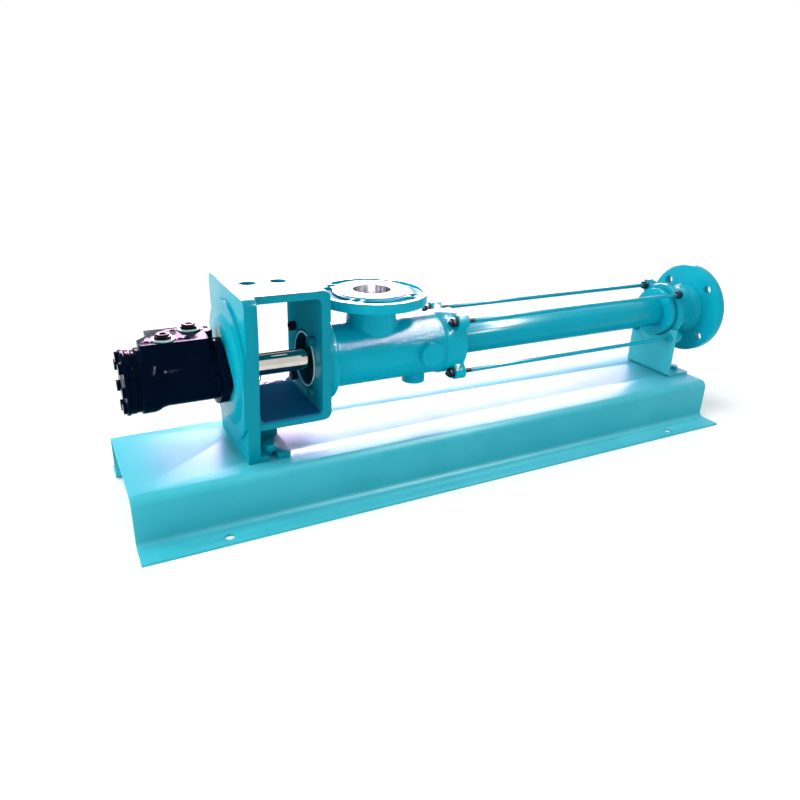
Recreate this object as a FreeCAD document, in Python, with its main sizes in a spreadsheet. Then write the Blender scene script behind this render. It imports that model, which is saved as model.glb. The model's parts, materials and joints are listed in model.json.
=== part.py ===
import FreeCAD, Part
import Sketcher
import math
import os
import re

# Progressive cavity pump with a hydraulic gear-ring motor, on a folded steel base.
# X runs from the motor to the discharge flange, Z is up, and the origin lies on the floor
# at the centre of the four anchor holes. Lengths are in millimetres.

doc = FreeCAD.newDocument("progressive_cavity_pump")
table = doc.addObject("Spreadsheet::Sheet", "Sizes")

SIZES = {
    # base frame, folded from one sheet
    "base_length": 1160,
    "base_top": 82,
    "base_width": 226,
    "foot_width": 46,
    "base_sheet": 4,
    "base_bend": 14,
    "anchor_inset": 127,
    "anchor_edge": 17.5,
    "anchor_radius": 7.5,
    # pump axis
    "axis_height": 213.4,
    # lantern bracket
    "bracket_from_end": 178,
    "motor_plate": 19,
    "plate_half_width": 101,
    "plate_knee": 70,
    "foot_half_width": 80,
    "bracket_top": 131.8,
    "frame_length": 137.5,
    "frame_half_width": 80,
    "pump_plate": 14.5,
    "top_web": 12,
    "low_web": 14,
    "low_web_drop": 77.4,
    "frame_corner": 12,
    "window_corner": 9,
    "boss_radius": 110,
    "boss_step": 5,
    "pad_root_radius": 88,
    "pad_radius": 79,
    "pad_step": 7,
    "pilot_radius": 41.3,
    "pilot_depth": 8,
    "shaft_passage": 26,
    "pump_bore_radius": 50,
    "lifting_hole": 13.7,
    "lifting_first": 35.4,
    "lifting_pitch": 47.6,
    "foot_length": 69,
    "foot_height": 10,
    "slot_width": 15.5,
    "slot_place": 39.5,
    "slot_reach": 57,
    "foot_rib": 17,
    # bolts that hold the bracket, the support foot and the motor
    "foot_bolt": 12,
    "washer_sheet": 2.5,
    "support_bolt": 10,
    "motor_bolt": 12,
    "housing_bolt": 10,
    "bolt_clearance": 0.5,
    "thread_clearance": 0.05,
    "housing_bolt_circle": 62,
    "housing_bolt_head": 8,
    "housing_bolt_socket": 8,
    # motor
    "motor_flange": 14,
    "motor_flange_radius": 51,
    "motor_lug_radius": 13,
    "motor_lug_reach": 53.2,
    "motor_length": 125.5,
    "motor_body_radius": 43,
    "motor_rear_radius": 49.5,
    "motor_rear_width": 22,
    "port_block_half": 36,
    "port_block_top": 64.6,
    "port_block_back": 121,
    "port_block_front": 23,
    "port_block_jog": 8.5,
    "port_block_step": 16,
    "port_block_reach": 10.4,
    "port_spacing_along": 44,
    "port_spacing_across": 37,
    "port_centre": 63.5,
    "port_seal_radius": 17,
    "port_seal": 2.5,
    "port_cap_radius": 12.2,
    "port_cap_height": 4,
    "port_hex": 18,
    "port_hex_height": 3,
    "port_socket": 10,
    "port_socket_depth": 5,
    "port_thread_depth": 10,
    "port_hole": 10,
    "manifold_hole": 4,
    "manifold_pitch": 47,
    "manifold_stagger": 22,
    "spacer_plate": 6,
    "gear_ring": 9,
    "end_cover": 6,
    "ring_radius": 47.5,
    "cover_bolt": 8,
    "cover_bolt_circle": 39,
    "cover_bolt_count": 7,
    "cover_bolt_flats": 15,
    "cover_bolt_turn": 27,
    "motor_shaft_radius": 12.5,
    "motor_shaft_reach": 52,
    "key_width": 8,
    "key_height": 7,
    "key_length": 32,
    # drive shaft, joints and coupling rod
    "shaft_radius": 17.5,
    "running_fit": 0.05,
    "shaft_start": 10,
    "joint_first": 226.5,
    "rod_span": 150,
    "shaft_head_radius": 19,
    "joint_head_half": 12,
    "joint_cup_radius": 11.7,
    "joint_pin_radius": 4,
    "joint_pin_clearance": 0.6,
    "rod_radius": 8.5,
    "rod_end_radius": 10.5,
    "rod_end_half": 10,
    "rotor_head_radius": 17,
    "sleeve_wall": 2.5,
    "sleeve_gap": 0.3,
    "sleeve_neck": 10.2,
    # mechanical seal
    "cover_radius": 70,
    "cover_flange": 9,
    "spigot_length": 8,
    "seal_tube": 15.5,
    "seal_tube_radius": 45.5,
    "seal_tube_bore": 42.5,
    "seal_tube_chamfer": 1,
    "seal_web": 5.5,
    "seat_radius": 27,
    "seat_depth": 6,
    "seal_bore": 20,
    "seal_face": 8,
    "seal_ring": 8,
    "seal_ring_radius": 25,
    "bellows_length": 20,
    "bellows_radius": 24,
    "bellows_folds": 4,
    "seal_collar": 10,
    # suction housing
    "housing_length": 257.1,
    "housing_flange": 11.7,
    "housing_radius": 54.2,
    "housing_end_radius": 56.8,
    "housing_end_width": 42,
    "housing_nose": 6.4,
    "nose_radius": 48.5,
    "housing_bore": 46,
    "throat_radius": 24,
    "throat_length": 17,
    "suction_from_end": 421,
    "suction_height": 103.6,
    "neck_radius": 42,
    "neck_fillet": 7,
    "pipe_bore": 32.5,
    "flange_radius": 92.5,
    "flange_thickness": 16,
    "raised_face_radius": 61,
    "raised_face": 2,
    "flange_bolt_circle": 72.5,
    "flange_hole": 9,
    "pocket_inner": 65,
    "pocket_outer": 86,
    "pocket_depth": 4,
    "pocket_half_angle": 30,
    "boss_port_radius": 20.5,
    "boss_port_reach": 68,
    "boss_port_from_end": 75.6,
    # tie rods and their lugs
    "rod_circle": 65.6,
    "tie_rod_radius": 4,
    "lug_radius": 12,
    "suction_lug": 20,
    "lug_gap": 0.5,
    "rod_nut": 6.5,
    "rod_nut_flats": 15,
    "rod_washer": 3,
    "rod_washer_radius": 8.4,
    "rod_tail": 5,
    # stator
    "stator_length": 530,
    "stator_seat": 10,
    "tube_radius": 28.5,
    "tube_bore": 24.5,
    "seat_fit": 0.1,
    "gasket": 4,
    "gasket_bore": 20.5,
    "collar_width": 13.6,
    "collar_radius": 49.5,
    "collar_seal_radius": 47,
    "rotor_radius": 12,
    "eccentricity": 3.5,
    "rotor_pitch": 125,
    "rotor_clearance": 0.5,
    "rotor_end_gap": 8,
    # discharge branch
    "branch_length": 74,
    "lug_ring_radius": 58,
    "lug_ring": 14,
    "branch_neck_radius": 43.5,
    "neck_root_radius": 52,
    "neck_root": 12,
    # support foot, bent from plate
    "support_sheet": 5,
    "support_half_width": 59.5,
    "support_top": 28.4,
    "support_bend": 9,
    "support_foot": 56,
    "support_cutout_gap": 2,
    "support_bolt_place": 37,
    "support_bolt_half": 35,
}


def fill_table():
    """Write every driving size into its own named cell."""
    for row, (name, number) in enumerate(SIZES.items(), start=1):
        table.set(f"A{row}", name)
        table.set(f"B{row}", str(number))
        table.setAlias(f"B{row}", name)
    doc.recompute()


fill_table()

# Places along the pump axis, worked out from the driving sizes
BRACKET = "(bracket_from_end - base_length / 2)"
MOTOR_FACE = f"({BRACKET} - boss_step - pad_step)"
PUMP_FACE = f"({BRACKET} + frame_length)"
HOUSING = f"({PUMP_FACE} + cover_flange)"
HOUSING_END = f"({HOUSING} + housing_length)"
SUCTION = "(suction_from_end - base_length / 2)"
TUBE = f"({HOUSING_END} - stator_seat)"
TUBE_END = f"({TUBE} + stator_length)"
BRANCH = f"({TUBE_END} + gasket)"
DISCHARGE = f"({BRANCH} + branch_length)"
MOTOR_REAR = f"({MOTOR_FACE} - motor_length)"
JOINT_ONE = f"({BRACKET} - boss_step - pad_step + joint_first)"
JOINT_TWO = f"({JOINT_ONE} + rod_span)"
SEAL_FACE = f"({HOUSING} - seat_depth + seal_face)"
AXIS = "axis_height"
ROTOR_AXIS = "(axis_height + eccentricity)"
DIAGONAL = "rod_circle * cos(45)"


def tie(text):
    """Name the table in front of every size used in an expression."""
    return re.sub(r"[a-z]\w*", lambda word: f"Sizes.{word[0]}" if word[0] in SIZES else word[0], text)


def size(text):
    """Number that an expression has now."""
    return float(table.evalExpression(tie(text)))


def bind(thing, path, text):
    """Bind one property of an object to the table."""
    thing.setExpression(path, tie(text))


# Bodies, sketches and features

def new_body(label, lift=AXIS, along="0"):
    """Start a body whose own origin lies at a height and a place along the axis."""
    body = doc.addObject("PartDesign::Body", label)
    body.Label = label
    body.AllowCompound = True
    bind(body, "Placement.Base.z", lift)
    bind(body, "Placement.Base.x", along)
    return body


def origin_part(body, role):
    """Plane or axis of the body's own origin."""
    return next(item for item in body.Origin.OriginFeatures if item.Role == role)


def sketch_on(body, role, offset="0"):
    """New sketch on an origin plane, moved along the plane's normal."""
    sketch = body.newObject("Sketcher::SketchObject", f"{body.Name}_outline")
    sketch.AttachmentSupport = [(origin_part(body, role), "")]
    sketch.MapMode = "FlatFace"
    bind(sketch, "AttachmentOffset.Base.z", offset)
    return sketch


def fix(sketch, kind, places, text):
    """Add one driving constraint, bound to the table."""
    index = sketch.addConstraint(Sketcher.Constraint(kind, *places, size(text)))
    bind(sketch, f"Constraints[{index}]", text)


def relate(sketch, *values):
    """Add one geometric constraint."""
    sketch.addConstraint(Sketcher.Constraint(*values))


def fix_point(sketch, geometry, point, spot):
    """Hold a point at its two distances from the sketch origin."""
    fix(sketch, "DistanceX", (-1, 1, geometry, point), spot[0])
    fix(sketch, "DistanceY", (-1, 1, geometry, point), spot[1])


def draw(sketch, corners, bevel=False):
    """Closed outline of straight sides. A corner's third value rounds it, or bevels it."""
    points = [FreeCAD.Vector(size(corner[0]), size(corner[1]), 0) for corner in corners]
    count = len(points)
    entries, exits, arcs = [], [], []
    for index, corner in enumerate(corners):
        here = points[index]
        back = (points[index - 1] - here).normalize()
        ahead = (points[(index + 1) % count] - here).normalize()
        if len(corner) == 2:
            entries.append(here)
            exits.append(here)
            arcs.append(None)
            continue
        amount = size(corner[2])
        half = back.getAngle(ahead) / 2
        setback = amount if bevel else amount / math.tan(half)
        entries.append(here + back * setback)
        exits.append(here + ahead * setback)
        inward = (back + ahead).normalize()
        middle = here + inward * (amount / math.sin(half) - amount)
        arcs.append(None if bevel else Part.Arc(entries[-1], middle, exits[-1]))
    first = sketch.GeometryCount
    for index in range(count):
        sketch.addGeometry(Part.LineSegment(exits[index], entries[(index + 1) % count]))
    for index, corner in enumerate(corners):
        before, after = first + (index - 1) % count, first + index
        if len(corner) == 2:
            relate(sketch, "Coincident", before, 2, after, 1)
            fix_point(sketch, after, 1, corner)
            continue
        sharp = sketch.addGeometry(Part.Point(points[index]), True)
        fix_point(sketch, sharp, 1, corner)
        relate(sketch, "PointOnObject", sharp, 1, before)
        relate(sketch, "PointOnObject", sharp, 1, after)
        if bevel:
            slant = sketch.addGeometry(Part.LineSegment(entries[index], exits[index]))
            relate(sketch, "Coincident", before, 2, slant, 1)
            relate(sketch, "Coincident", slant, 2, after, 1)
            fix(sketch, "Distance", (sharp, 1, slant, 1), corner[2])
            fix(sketch, "Distance", (sharp, 1, slant, 2), corner[2])
            continue
        bend = sketch.addGeometry(arcs[index])
        start = sketch.getPoint(bend, 1)
        turned_round = start.distanceToPoint(entries[index]) > start.distanceToPoint(exits[index])
        ends = (2, 1) if turned_round else (1, 2)
        relate(sketch, "Tangent", before, 2, bend, ends[0])
        relate(sketch, "Tangent", bend, ends[1], after, 1)
        fix(sketch, "Radius", (bend,), corner[2])


def circle(sketch, across, up, radius):
    """Full circle at a place in the sketch."""
    centre = FreeCAD.Vector(size(across), size(up), 0)
    ring = sketch.addGeometry(Part.Circle(centre, FreeCAD.Vector(0, 0, 1), size(radius)))
    fix_point(sketch, ring, 3, (across, up))
    fix(sketch, "Radius", (ring,), radius)


def finish(body, feature):
    """Make a feature the body's tip and see that it changed the solid."""
    before = body.Shape.Volume if not body.Shape.isNull() else 0
    body.Tip = feature
    doc.recompute()
    if abs(body.Shape.Volume - before) < 1e-3:
        raise RuntimeError(f"{feature.Name} of {body.Label} changes nothing")
    return feature


def extrude(body, kind, sketch, length, both=False, back=False):
    """Pad or pocket a sketch by a bound length, or a pocket right through."""
    feature = body.newObject(f"PartDesign::{kind}", f"{body.Name}_{kind.lower()}")
    feature.Profile = sketch
    feature.Reversed = back
    feature.SideType = "Symmetric" if both else "One side"
    if length:
        bind(feature, "Length", length)
    else:
        feature.Type = "ThroughAll"
    sketch.Visibility = False
    return finish(body, feature)


def pad(body, sketch, length, both=False, back=False):
    """Add material over a sketch."""
    return extrude(body, "Pad", sketch, length, both, back)


def cut(body, sketch, length="", both=False, back=False):
    """Take material away under a sketch."""
    return extrude(body, "Pocket", sketch, length, both, back)


def spin(body, kind, corners):
    """Turn an outline of (along, radius) corners once round the body's X axis, with bevels."""
    sketch = sketch_on(body, "XZ_Plane")
    draw(sketch, corners, bevel=True)
    feature = body.newObject(f"PartDesign::{kind}", f"{body.Name}_{kind.lower()}")
    feature.Profile = sketch
    feature.ReferenceAxis = (sketch, ["H_Axis"])
    feature.Angle = 360
    return finish(body, feature)


def turned(label, corners, lift=AXIS, along="0"):
    """Whole body turned from one outline."""
    body = new_body(label, lift, along)
    spin(body, "Revolution", corners)
    return body


def ring(label, start, end, inner, outer, lift=AXIS):
    """Plain turned ring between two places along the axis."""
    return turned(label, [(start, inner), (end, inner), (end, outer), (start, outer)], lift)


def around(body, features, count, axis=None):
    """Repeat features round the body's X axis, or round a sketch's normal."""
    pattern = body.newObject("PartDesign::PolarPattern", f"{body.Name}_round")
    pattern.Originals = features
    pattern.Axis = (axis, ["N_Axis"]) if axis else (origin_part(body, "X_Axis"), [""])
    pattern.Angle = 360
    if count in SIZES:
        bind(pattern, "Occurrences", count)
    else:
        pattern.Occurrences = int(count)
    return finish(body, pattern)


def along_y(body, features, length):
    """Repeat features once across the base."""
    pattern = body.newObject("PartDesign::LinearPattern", f"{body.Name}_pair")
    pattern.Originals = features
    pattern.Direction = (origin_part(body, "Y_Axis"), [""])
    bind(pattern, "Length", length)
    pattern.Occurrences = 2
    return finish(body, pattern)


def soften(body, radius, wanted):
    """Round every edge of the tip that the test accepts."""
    tip = body.Tip
    names = [f"Edge{number}" for number, edge in enumerate(tip.Shape.Edges, start=1) if wanted(edge)]
    feature = body.newObject("PartDesign::Fillet", f"{body.Name}_fillet")
    feature.Base = (tip, names)
    bind(feature, "Radius", radius)
    return finish(body, feature)


# Fasteners, made as groups of separate solids

def hexagon(sketch, across, up, flats, turned_by=0):
    """Six-sided outline of a nut or a bolt head."""
    draw(sketch, [(f"{across} + {flats} / 2 / cos(30) * cos({turn})",
                   f"{up} + {flats} / 2 / cos(30) * sin({turn})")
                  for turn in range(turned_by, 360 + turned_by, 60)])


def head_flats(thread):
    """Width over the flats that belongs to a thread."""
    return f"({thread} * 1.5 + 1)"


def bolt(body, plane, spot, under_head, thread, length, towards=True, flats="", turned_by=0):
    """One hexagon bolt: its head stands on a plane and its shank runs the other way."""
    head = sketch_on(body, plane, under_head)
    hexagon(head, spot[0], spot[1], flats or head_flats(thread), turned_by)
    cap = pad(body, head, f"{thread} * 0.62", back=not towards)
    shank = sketch_on(body, plane, under_head)
    circle(shank, spot[0], spot[1], f"{thread} / 2")
    stem = pad(body, shank, length, back=towards)
    return [cap, stem]


def nut(body, plane, spot, start, flats, height, thread_radius, towards=True):
    """One nut with its threaded hole."""
    outline = sketch_on(body, plane, start)
    hexagon(outline, spot[0], spot[1], flats)
    circle(outline, spot[0], spot[1], f"{thread_radius} + thread_clearance")
    return pad(body, outline, height, back=not towards)


def washer(body, plane, spot, start, outer, inner, height, towards=True):
    """One flat washer."""
    outline = sketch_on(body, plane, start)
    circle(outline, spot[0], spot[1], outer)
    circle(outline, spot[0], spot[1], inner)
    return pad(body, outline, height, back=not towards)


# Base frame

def base_frame():
    """Hat-shaped base folded from sheet, with anchor holes in its two feet."""
    body = new_body("base_frame", lift="0")
    wall, foot = "base_width / 2", "base_width / 2 + foot_width"
    inner, outer = "base_bend - base_sheet", "base_bend"
    section = sketch_on(body, "YZ_Plane", "0 - base_length / 2")
    side = [(foot, "0"), (foot, "base_sheet"), (wall, "base_sheet", inner), (wall, "base_top", outer)]
    under = [(f"{wall} - base_sheet", "base_top - base_sheet", inner),
             (f"{wall} - base_sheet", "0", outer)]
    mirrored = [(f"0 - ({corner[0]})",) + corner[1:] for corner in reversed(side)]
    mirrored_under = [(f"0 - ({corner[0]})",) + corner[1:] for corner in reversed(under)]
    draw(section, side + mirrored + mirrored_under + under)
    pad(body, section, "base_length")
    anchors = sketch_on(body, "XY_Plane")
    for end in ("-", ""):
        for edge in ("-", ""):
            circle(anchors, f"{end}(base_length / 2 - anchor_inset)",
                   f"{edge}({foot} - anchor_edge)", "anchor_radius")
    cut(body, anchors, "base_sheet * 2", back=True)
    tops = sketch_on(body, "XY_Plane", "base_top")
    for edge in ("-", ""):
        circle(tops, f"{BRACKET} + slot_place", f"{edge}slot_reach", "foot_bolt / 2 + bolt_clearance")
        circle(tops, f"{BRANCH} + support_bolt_place", f"{edge}support_bolt_half",
               "support_bolt / 2 + bolt_clearance")
    cut(body, tops, "base_sheet * 2")
    return body


# Lantern bracket, one casting between motor and pump

def bracket_frame(body):
    """Loop of two webs and the pump plate, with its window."""
    middle = f"{BRACKET} + motor_plate / 2"
    loop = sketch_on(body, "XZ_Plane")
    draw(loop, [(middle, "0 - low_web_drop"),
                (PUMP_FACE, "0 - low_web_drop", "frame_corner"),
                (PUMP_FACE, "bracket_top", "frame_corner"),
                (middle, "bracket_top")])
    pad(body, loop, "frame_half_width * 2", both=True)
    window = sketch_on(body, "XZ_Plane")
    left, right = f"{BRACKET} + motor_plate", f"{PUMP_FACE} - pump_plate"
    low, high = "low_web - low_web_drop", "bracket_top - top_web"
    draw(window, [(left, low, "window_corner"), (right, low, "window_corner"),
                  (right, high, "window_corner"), (left, high, "window_corner")])
    cut(body, window, "frame_half_width * 3", both=True)


def bracket_plate(body):
    """Motor plate that narrows towards the foot, with a round boss trimmed to its sides."""
    plate = sketch_on(body, "YZ_Plane", f"{BRACKET} - boss_step")
    bottom = "base_top - axis_height"
    draw(plate, [("0 - foot_half_width", bottom), ("foot_half_width", bottom),
                 ("plate_half_width", "plate_knee"),
                 ("plate_half_width", "bracket_top", "frame_corner"),
                 ("0 - plate_half_width", "bracket_top", "frame_corner"),
                 ("0 - plate_half_width", "plate_knee")])
    pad(body, plate, "motor_plate + boss_step")
    skin = sketch_on(body, "YZ_Plane", f"{BRACKET} - boss_step")
    reach = "boss_radius * 2"
    draw(skin, [(f"0 - {reach}", f"0 - {reach}"), (reach, f"0 - {reach}"),
                (reach, reach), (f"0 - {reach}", reach)])
    circle(skin, "0", "0", "boss_radius")
    cut(body, skin, "boss_step", back=True)
    spin(body, "Revolution", [(MOTOR_FACE, "shaft_passage"),
                              (MOTOR_FACE, "pad_radius", "3"),
                              (f"{BRACKET} - boss_step", "pad_root_radius"),
                              (f"{BRACKET} + 1", "pad_root_radius"),
                              (f"{BRACKET} + 1", "shaft_passage")])


def bracket_holes(body):
    """Bores, bolt holes and the lifting holes in the top web."""
    seat = f"{MOTOR_FACE} + pilot_depth"
    spin(body, "Groove", [(f"{MOTOR_FACE} - 1", "0"), (f"{MOTOR_FACE} - 1", "pilot_radius"),
                          (seat, "pilot_radius"), (seat, "shaft_passage"),
                          (f"{BRACKET} + motor_plate + 1", "shaft_passage"),
                          (f"{BRACKET} + motor_plate + 1", "0")])
    bores = sketch_on(body, "YZ_Plane", f"{PUMP_FACE} + 1")
    circle(bores, "0", "0", "pump_bore_radius")
    cut(body, bores, "pump_plate + 5")
    holes = sketch_on(body, "YZ_Plane", f"{PUMP_FACE} + 1")
    circle(holes, "housing_bolt_circle * cos(45)", "housing_bolt_circle * cos(45)",
           "housing_bolt / 2 + bolt_clearance")
    around(body, [cut(body, holes, "pump_plate + 5")], "4")
    motor_holes = sketch_on(body, "YZ_Plane", f"{BRACKET} + motor_plate + 1")
    for side in ("-", ""):
        circle(motor_holes, f"{side}motor_lug_reach", "0", "motor_bolt / 2 + bolt_clearance")
    cut(body, motor_holes, "motor_plate + boss_step + pad_step + 5")
    lifting = sketch_on(body, "XY_Plane", "bracket_top + 1")
    circle(lifting, f"{BRACKET} + lifting_first", "0", "lifting_hole")
    circle(lifting, f"{BRACKET} + lifting_first + lifting_pitch", "0", "lifting_hole")
    cut(body, lifting, "top_web + 5")


def lantern_bracket():
    """Cast bracket: motor plate, open loop, pump plate and slotted foot."""
    body = new_body("lantern_bracket")
    bracket_frame(body)
    bracket_plate(body)
    bottom = "base_top - axis_height"
    sole = sketch_on(body, "XY_Plane", bottom)
    draw(sole, [(BRACKET, "0 - foot_half_width"), (f"{BRACKET} + foot_length", "0 - foot_half_width", "4"),
                (f"{BRACKET} + foot_length", "foot_half_width", "4"), (BRACKET, "foot_half_width")])
    pad(body, sole, "foot_height")
    rib = sketch_on(body, "XZ_Plane")
    draw(rib, [(BRACKET, bottom), (f"{BRACKET} + foot_length", bottom),
               (f"{BRACKET} + foot_length", "low_web / 2 - low_web_drop"),
               (BRACKET, "low_web / 2 - low_web_drop")])
    pad(body, rib, "foot_rib", both=True)
    bracket_holes(body)
    for side in ("0 - ", ""):
        slot = sketch_on(body, "XY_Plane", bottom)
        left, right = f"{BRACKET} + slot_place - slot_width / 2", f"{BRACKET} + slot_place + slot_width / 2"
        inner = f"{side}(slot_reach - slot_width / 2)"
        outer = f"{side}(foot_half_width + 5)"
        draw(slot, [(left, inner, "slot_width * 0.45"), (right, inner, "slot_width * 0.45"),
                    (right, outer), (left, outer)])
        cut(body, slot, "foot_height", back=True)
    return body


def bracket_fasteners():
    """Bolts, washers and nuts that hold the bracket down on the base."""
    spot = (f"{BRACKET} + slot_place", "0 - slot_reach")
    top = "base_top + foot_height"
    washers = new_body("bracket_washers", lift="0")
    one = washer(washers, "XY_Plane", spot, top, "foot_bolt", "foot_bolt / 2 + bolt_clearance",
                 "washer_sheet")
    along_y(washers, [one], "slot_reach * 2")
    bolts = new_body("bracket_bolts", lift="0")
    parts = bolt(bolts, "XY_Plane", spot, f"{top} + washer_sheet", "foot_bolt",
                 "foot_height + washer_sheet + base_sheet + foot_bolt * 1.1")
    along_y(bolts, parts, "slot_reach * 2")
    nuts = new_body("bracket_nuts", lift="0")
    one = nut(nuts, "XY_Plane", spot, "base_top - base_sheet", head_flats("foot_bolt"),
              "foot_bolt * 0.85", "foot_bolt / 2", towards=False)
    along_y(nuts, [one], "slot_reach * 2")


# Hydraulic motor

def motor_body():
    """Cast motor body: oval flange, round barrel and port block."""
    body = new_body("motor_body")
    flange = sketch_on(body, "YZ_Plane", f"{MOTOR_FACE} - motor_flange")
    slope = "(motor_flange_radius - motor_lug_radius)"
    tip = f"motor_flange_radius * motor_lug_reach / {slope}"
    peak = f"motor_flange_radius / sqrt(1 - ({slope} / motor_lug_reach) ^ 2)"
    draw(flange, [(tip, "0", "motor_lug_radius"), ("0", peak, "motor_flange_radius"),
                  (f"0 - {tip}", "0", "motor_lug_radius"), ("0", f"0 - {peak}", "motor_flange_radius")])
    pad(body, flange, "motor_flange")
    front = f"{MOTOR_FACE} - motor_flange / 2"
    shoulder = f"{MOTOR_REAR} + motor_rear_width"
    spin(body, "Revolution", [(MOTOR_REAR, "0"), (MOTOR_REAR, "motor_rear_radius", "1.5"),
                              (shoulder, "motor_rear_radius", "4"),
                              (f"{shoulder} + 12", "motor_body_radius", "4"),
                              (front, "motor_body_radius"), (front, "0")])
    block = sketch_on(body, "XY_Plane", "port_block_top")
    back, ahead = f"{MOTOR_FACE} - port_block_back", f"{MOTOR_FACE} - port_block_front"
    far_back, far_ahead = f"{back} + port_block_step", f"{MOTOR_FACE} - port_block_reach"
    near, far = "0 - port_block_half", "port_block_half"
    draw(block, [(back, near, "4"), (ahead, near, "4"), (ahead, "0"), (far_ahead, "0", "3"),
                 (far_ahead, far, "4"), (far_back, far, "4"), (far_back, "port_block_jog"),
                 (back, "0 - port_block_jog", "3")])
    pad(body, block, "port_block_top", back=True)
    spigot = sketch_on(body, "YZ_Plane", MOTOR_FACE)
    circle(spigot, "0", "0", "pilot_radius - running_fit")
    pad(body, spigot, "pilot_depth - lug_gap")
    bore = sketch_on(body, "YZ_Plane", f"{MOTOR_FACE} + pilot_depth")
    circle(bore, "0", "0", "motor_shaft_radius + running_fit")
    cut(body, bore, "pilot_depth + motor_shaft_reach + lug_gap")
    lugs = sketch_on(body, "YZ_Plane", f"{MOTOR_FACE} + 1")
    for side in ("-", ""):
        circle(lugs, f"{side}motor_lug_reach", "0", "motor_bolt / 2 + bolt_clearance")
    cut(body, lugs, "motor_flange + 2")
    ports = sketch_on(body, "XY_Plane", "port_block_top")
    for way in ("-", ""):
        circle(ports, f"{MOTOR_FACE} - port_centre {way or '+'} port_spacing_along / 2",
               f"{way}port_spacing_across / 2", "port_hole")
    for way in ("-", ""):
        middle = f"{MOTOR_FACE} - port_centre {way or '+'} manifold_stagger"
        for end in ("-", "+"):
            circle(ports, f"{middle} {end} manifold_pitch / 2", f"{way}manifold_stagger", "manifold_hole")
    cut(body, ports, "port_thread_depth + 2")
    return body


def motor_stack():
    """Spacer plate, gear ring and end cover behind the motor body, with their bolts."""
    rear = MOTOR_REAR
    ring_start = f"({rear} - spacer_plate)"
    cover_start = f"({ring_start} - gear_ring)"
    end = f"({cover_start} - end_cover)"
    hole = "cover_bolt / 2 + bolt_clearance"
    spot = ("cover_bolt_circle * cos(cover_bolt_turn)", "cover_bolt_circle * sin(cover_bolt_turn)")
    stack = [("motor_spacer_plate", ring_start, "spacer_plate", "ring_radius - 1"),
             ("motor_gear_ring", cover_start, "gear_ring", "ring_radius"),
             ("motor_end_cover", end, "end_cover", "ring_radius + 1.5")]
    for label, start, width, radius in stack:
        body = turned(label, [(start, "0"), (f"{start} + {width}", "0"),
                              (f"{start} + {width}", radius, "1"), (start, radius, "1")])
        bores = sketch_on(body, "YZ_Plane", start)
        circle(bores, spot[0], spot[1], hole)
        around(body, [cut(body, bores, width, back=True)], "cover_bolt_count")
    bolts = new_body("motor_cover_bolts")
    parts = bolt(bolts, "YZ_Plane", spot, end, "cover_bolt", "spacer_plate + gear_ring + end_cover",
                 towards=False, flats="cover_bolt_flats")
    around(bolts, parts, "cover_bolt_count")


def port_plugs():
    """Hexagon plugs in the two hose ports, each on its seal ring."""
    seals = new_body("port_seal_rings")
    plugs = new_body("port_plugs")
    seat = "port_block_top + port_seal"
    shoulder = f"{seat} + port_cap_height"
    top = f"{shoulder} + port_hex_height"
    for way in ("-", ""):
        spot = (f"{MOTOR_FACE} - port_centre {way or '+'} port_spacing_along / 2",
                f"{way}port_spacing_across / 2")
        washer(seals, "XY_Plane", spot, "port_block_top", "port_seal_radius", "port_hole", "port_seal")
        collar = sketch_on(plugs, "XY_Plane", seat)
        circle(collar, spot[0], spot[1], "port_cap_radius")
        pad(plugs, collar, "port_cap_height")
        head = sketch_on(plugs, "XY_Plane", shoulder)
        hexagon(head, spot[0], spot[1], "port_hex")
        pad(plugs, head, "port_hex_height")
        thread = sketch_on(plugs, "XY_Plane", seat)
        circle(thread, spot[0], spot[1], "port_hole - thread_clearance")
        pad(plugs, thread, "port_seal + port_thread_depth", back=True)
        socket = sketch_on(plugs, "XY_Plane", top)
        hexagon(socket, spot[0], spot[1], "port_socket")
        cut(plugs, socket, "port_socket_depth")


def motor_fasteners():
    """Two bolts through the motor's oval flange, with nuts behind the bracket plate."""
    bolts = new_body("motor_bolts")
    grip = "motor_flange + pad_step + boss_step + motor_plate"
    parts = bolt(bolts, "YZ_Plane", ("motor_lug_reach", "0"), f"{MOTOR_FACE} - motor_flange",
                 "motor_bolt", f"{grip} + motor_bolt * 1.1", towards=False, turned_by=30)
    around(bolts, parts, "2")
    nuts = new_body("motor_nuts")
    one = nut(nuts, "YZ_Plane", ("motor_lug_reach", "0"), f"{BRACKET} + motor_plate",
              head_flats("motor_bolt"), "motor_bolt * 0.85", "motor_bolt / 2")
    around(nuts, [one], "2")


def motor_shaft():
    """Motor output shaft with a key seat, and the key in it."""
    start = f"{MOTOR_FACE} - motor_shaft_reach"
    end = f"{MOTOR_FACE} + motor_shaft_reach"
    body = turned("motor_shaft", [(start, "0"), (start, "motor_shaft_radius"),
                                  (end, "motor_shaft_radius"), (end, "0")])
    floor = "motor_shaft_radius - key_height / 2"
    half = "key_width / 2"
    key_start = f"{end} - key_length"
    seat = sketch_on(body, "XY_Plane", floor)
    draw(seat, [(key_start, f"0 - {half}"), (end, f"0 - {half}"), (end, half), (key_start, half)])
    cut(body, seat, "key_height", back=True)
    key = new_body("shaft_key")
    bar = sketch_on(key, "XY_Plane", floor)
    draw(bar, [(key_start, f"0 - {half}"), (end, f"0 - {half}"), (end, half), (key_start, half)])
    pad(key, bar, "key_height")


# Drive shaft, coupling rod and rotor

def cross_hole(body, along, lift, radius):
    """Hole for a joint pin, right across the body."""
    hole = sketch_on(body, "XZ_Plane")
    circle(hole, along, lift, radius)
    cut(body, hole, "shaft_head_radius * 4", both=True)


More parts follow.
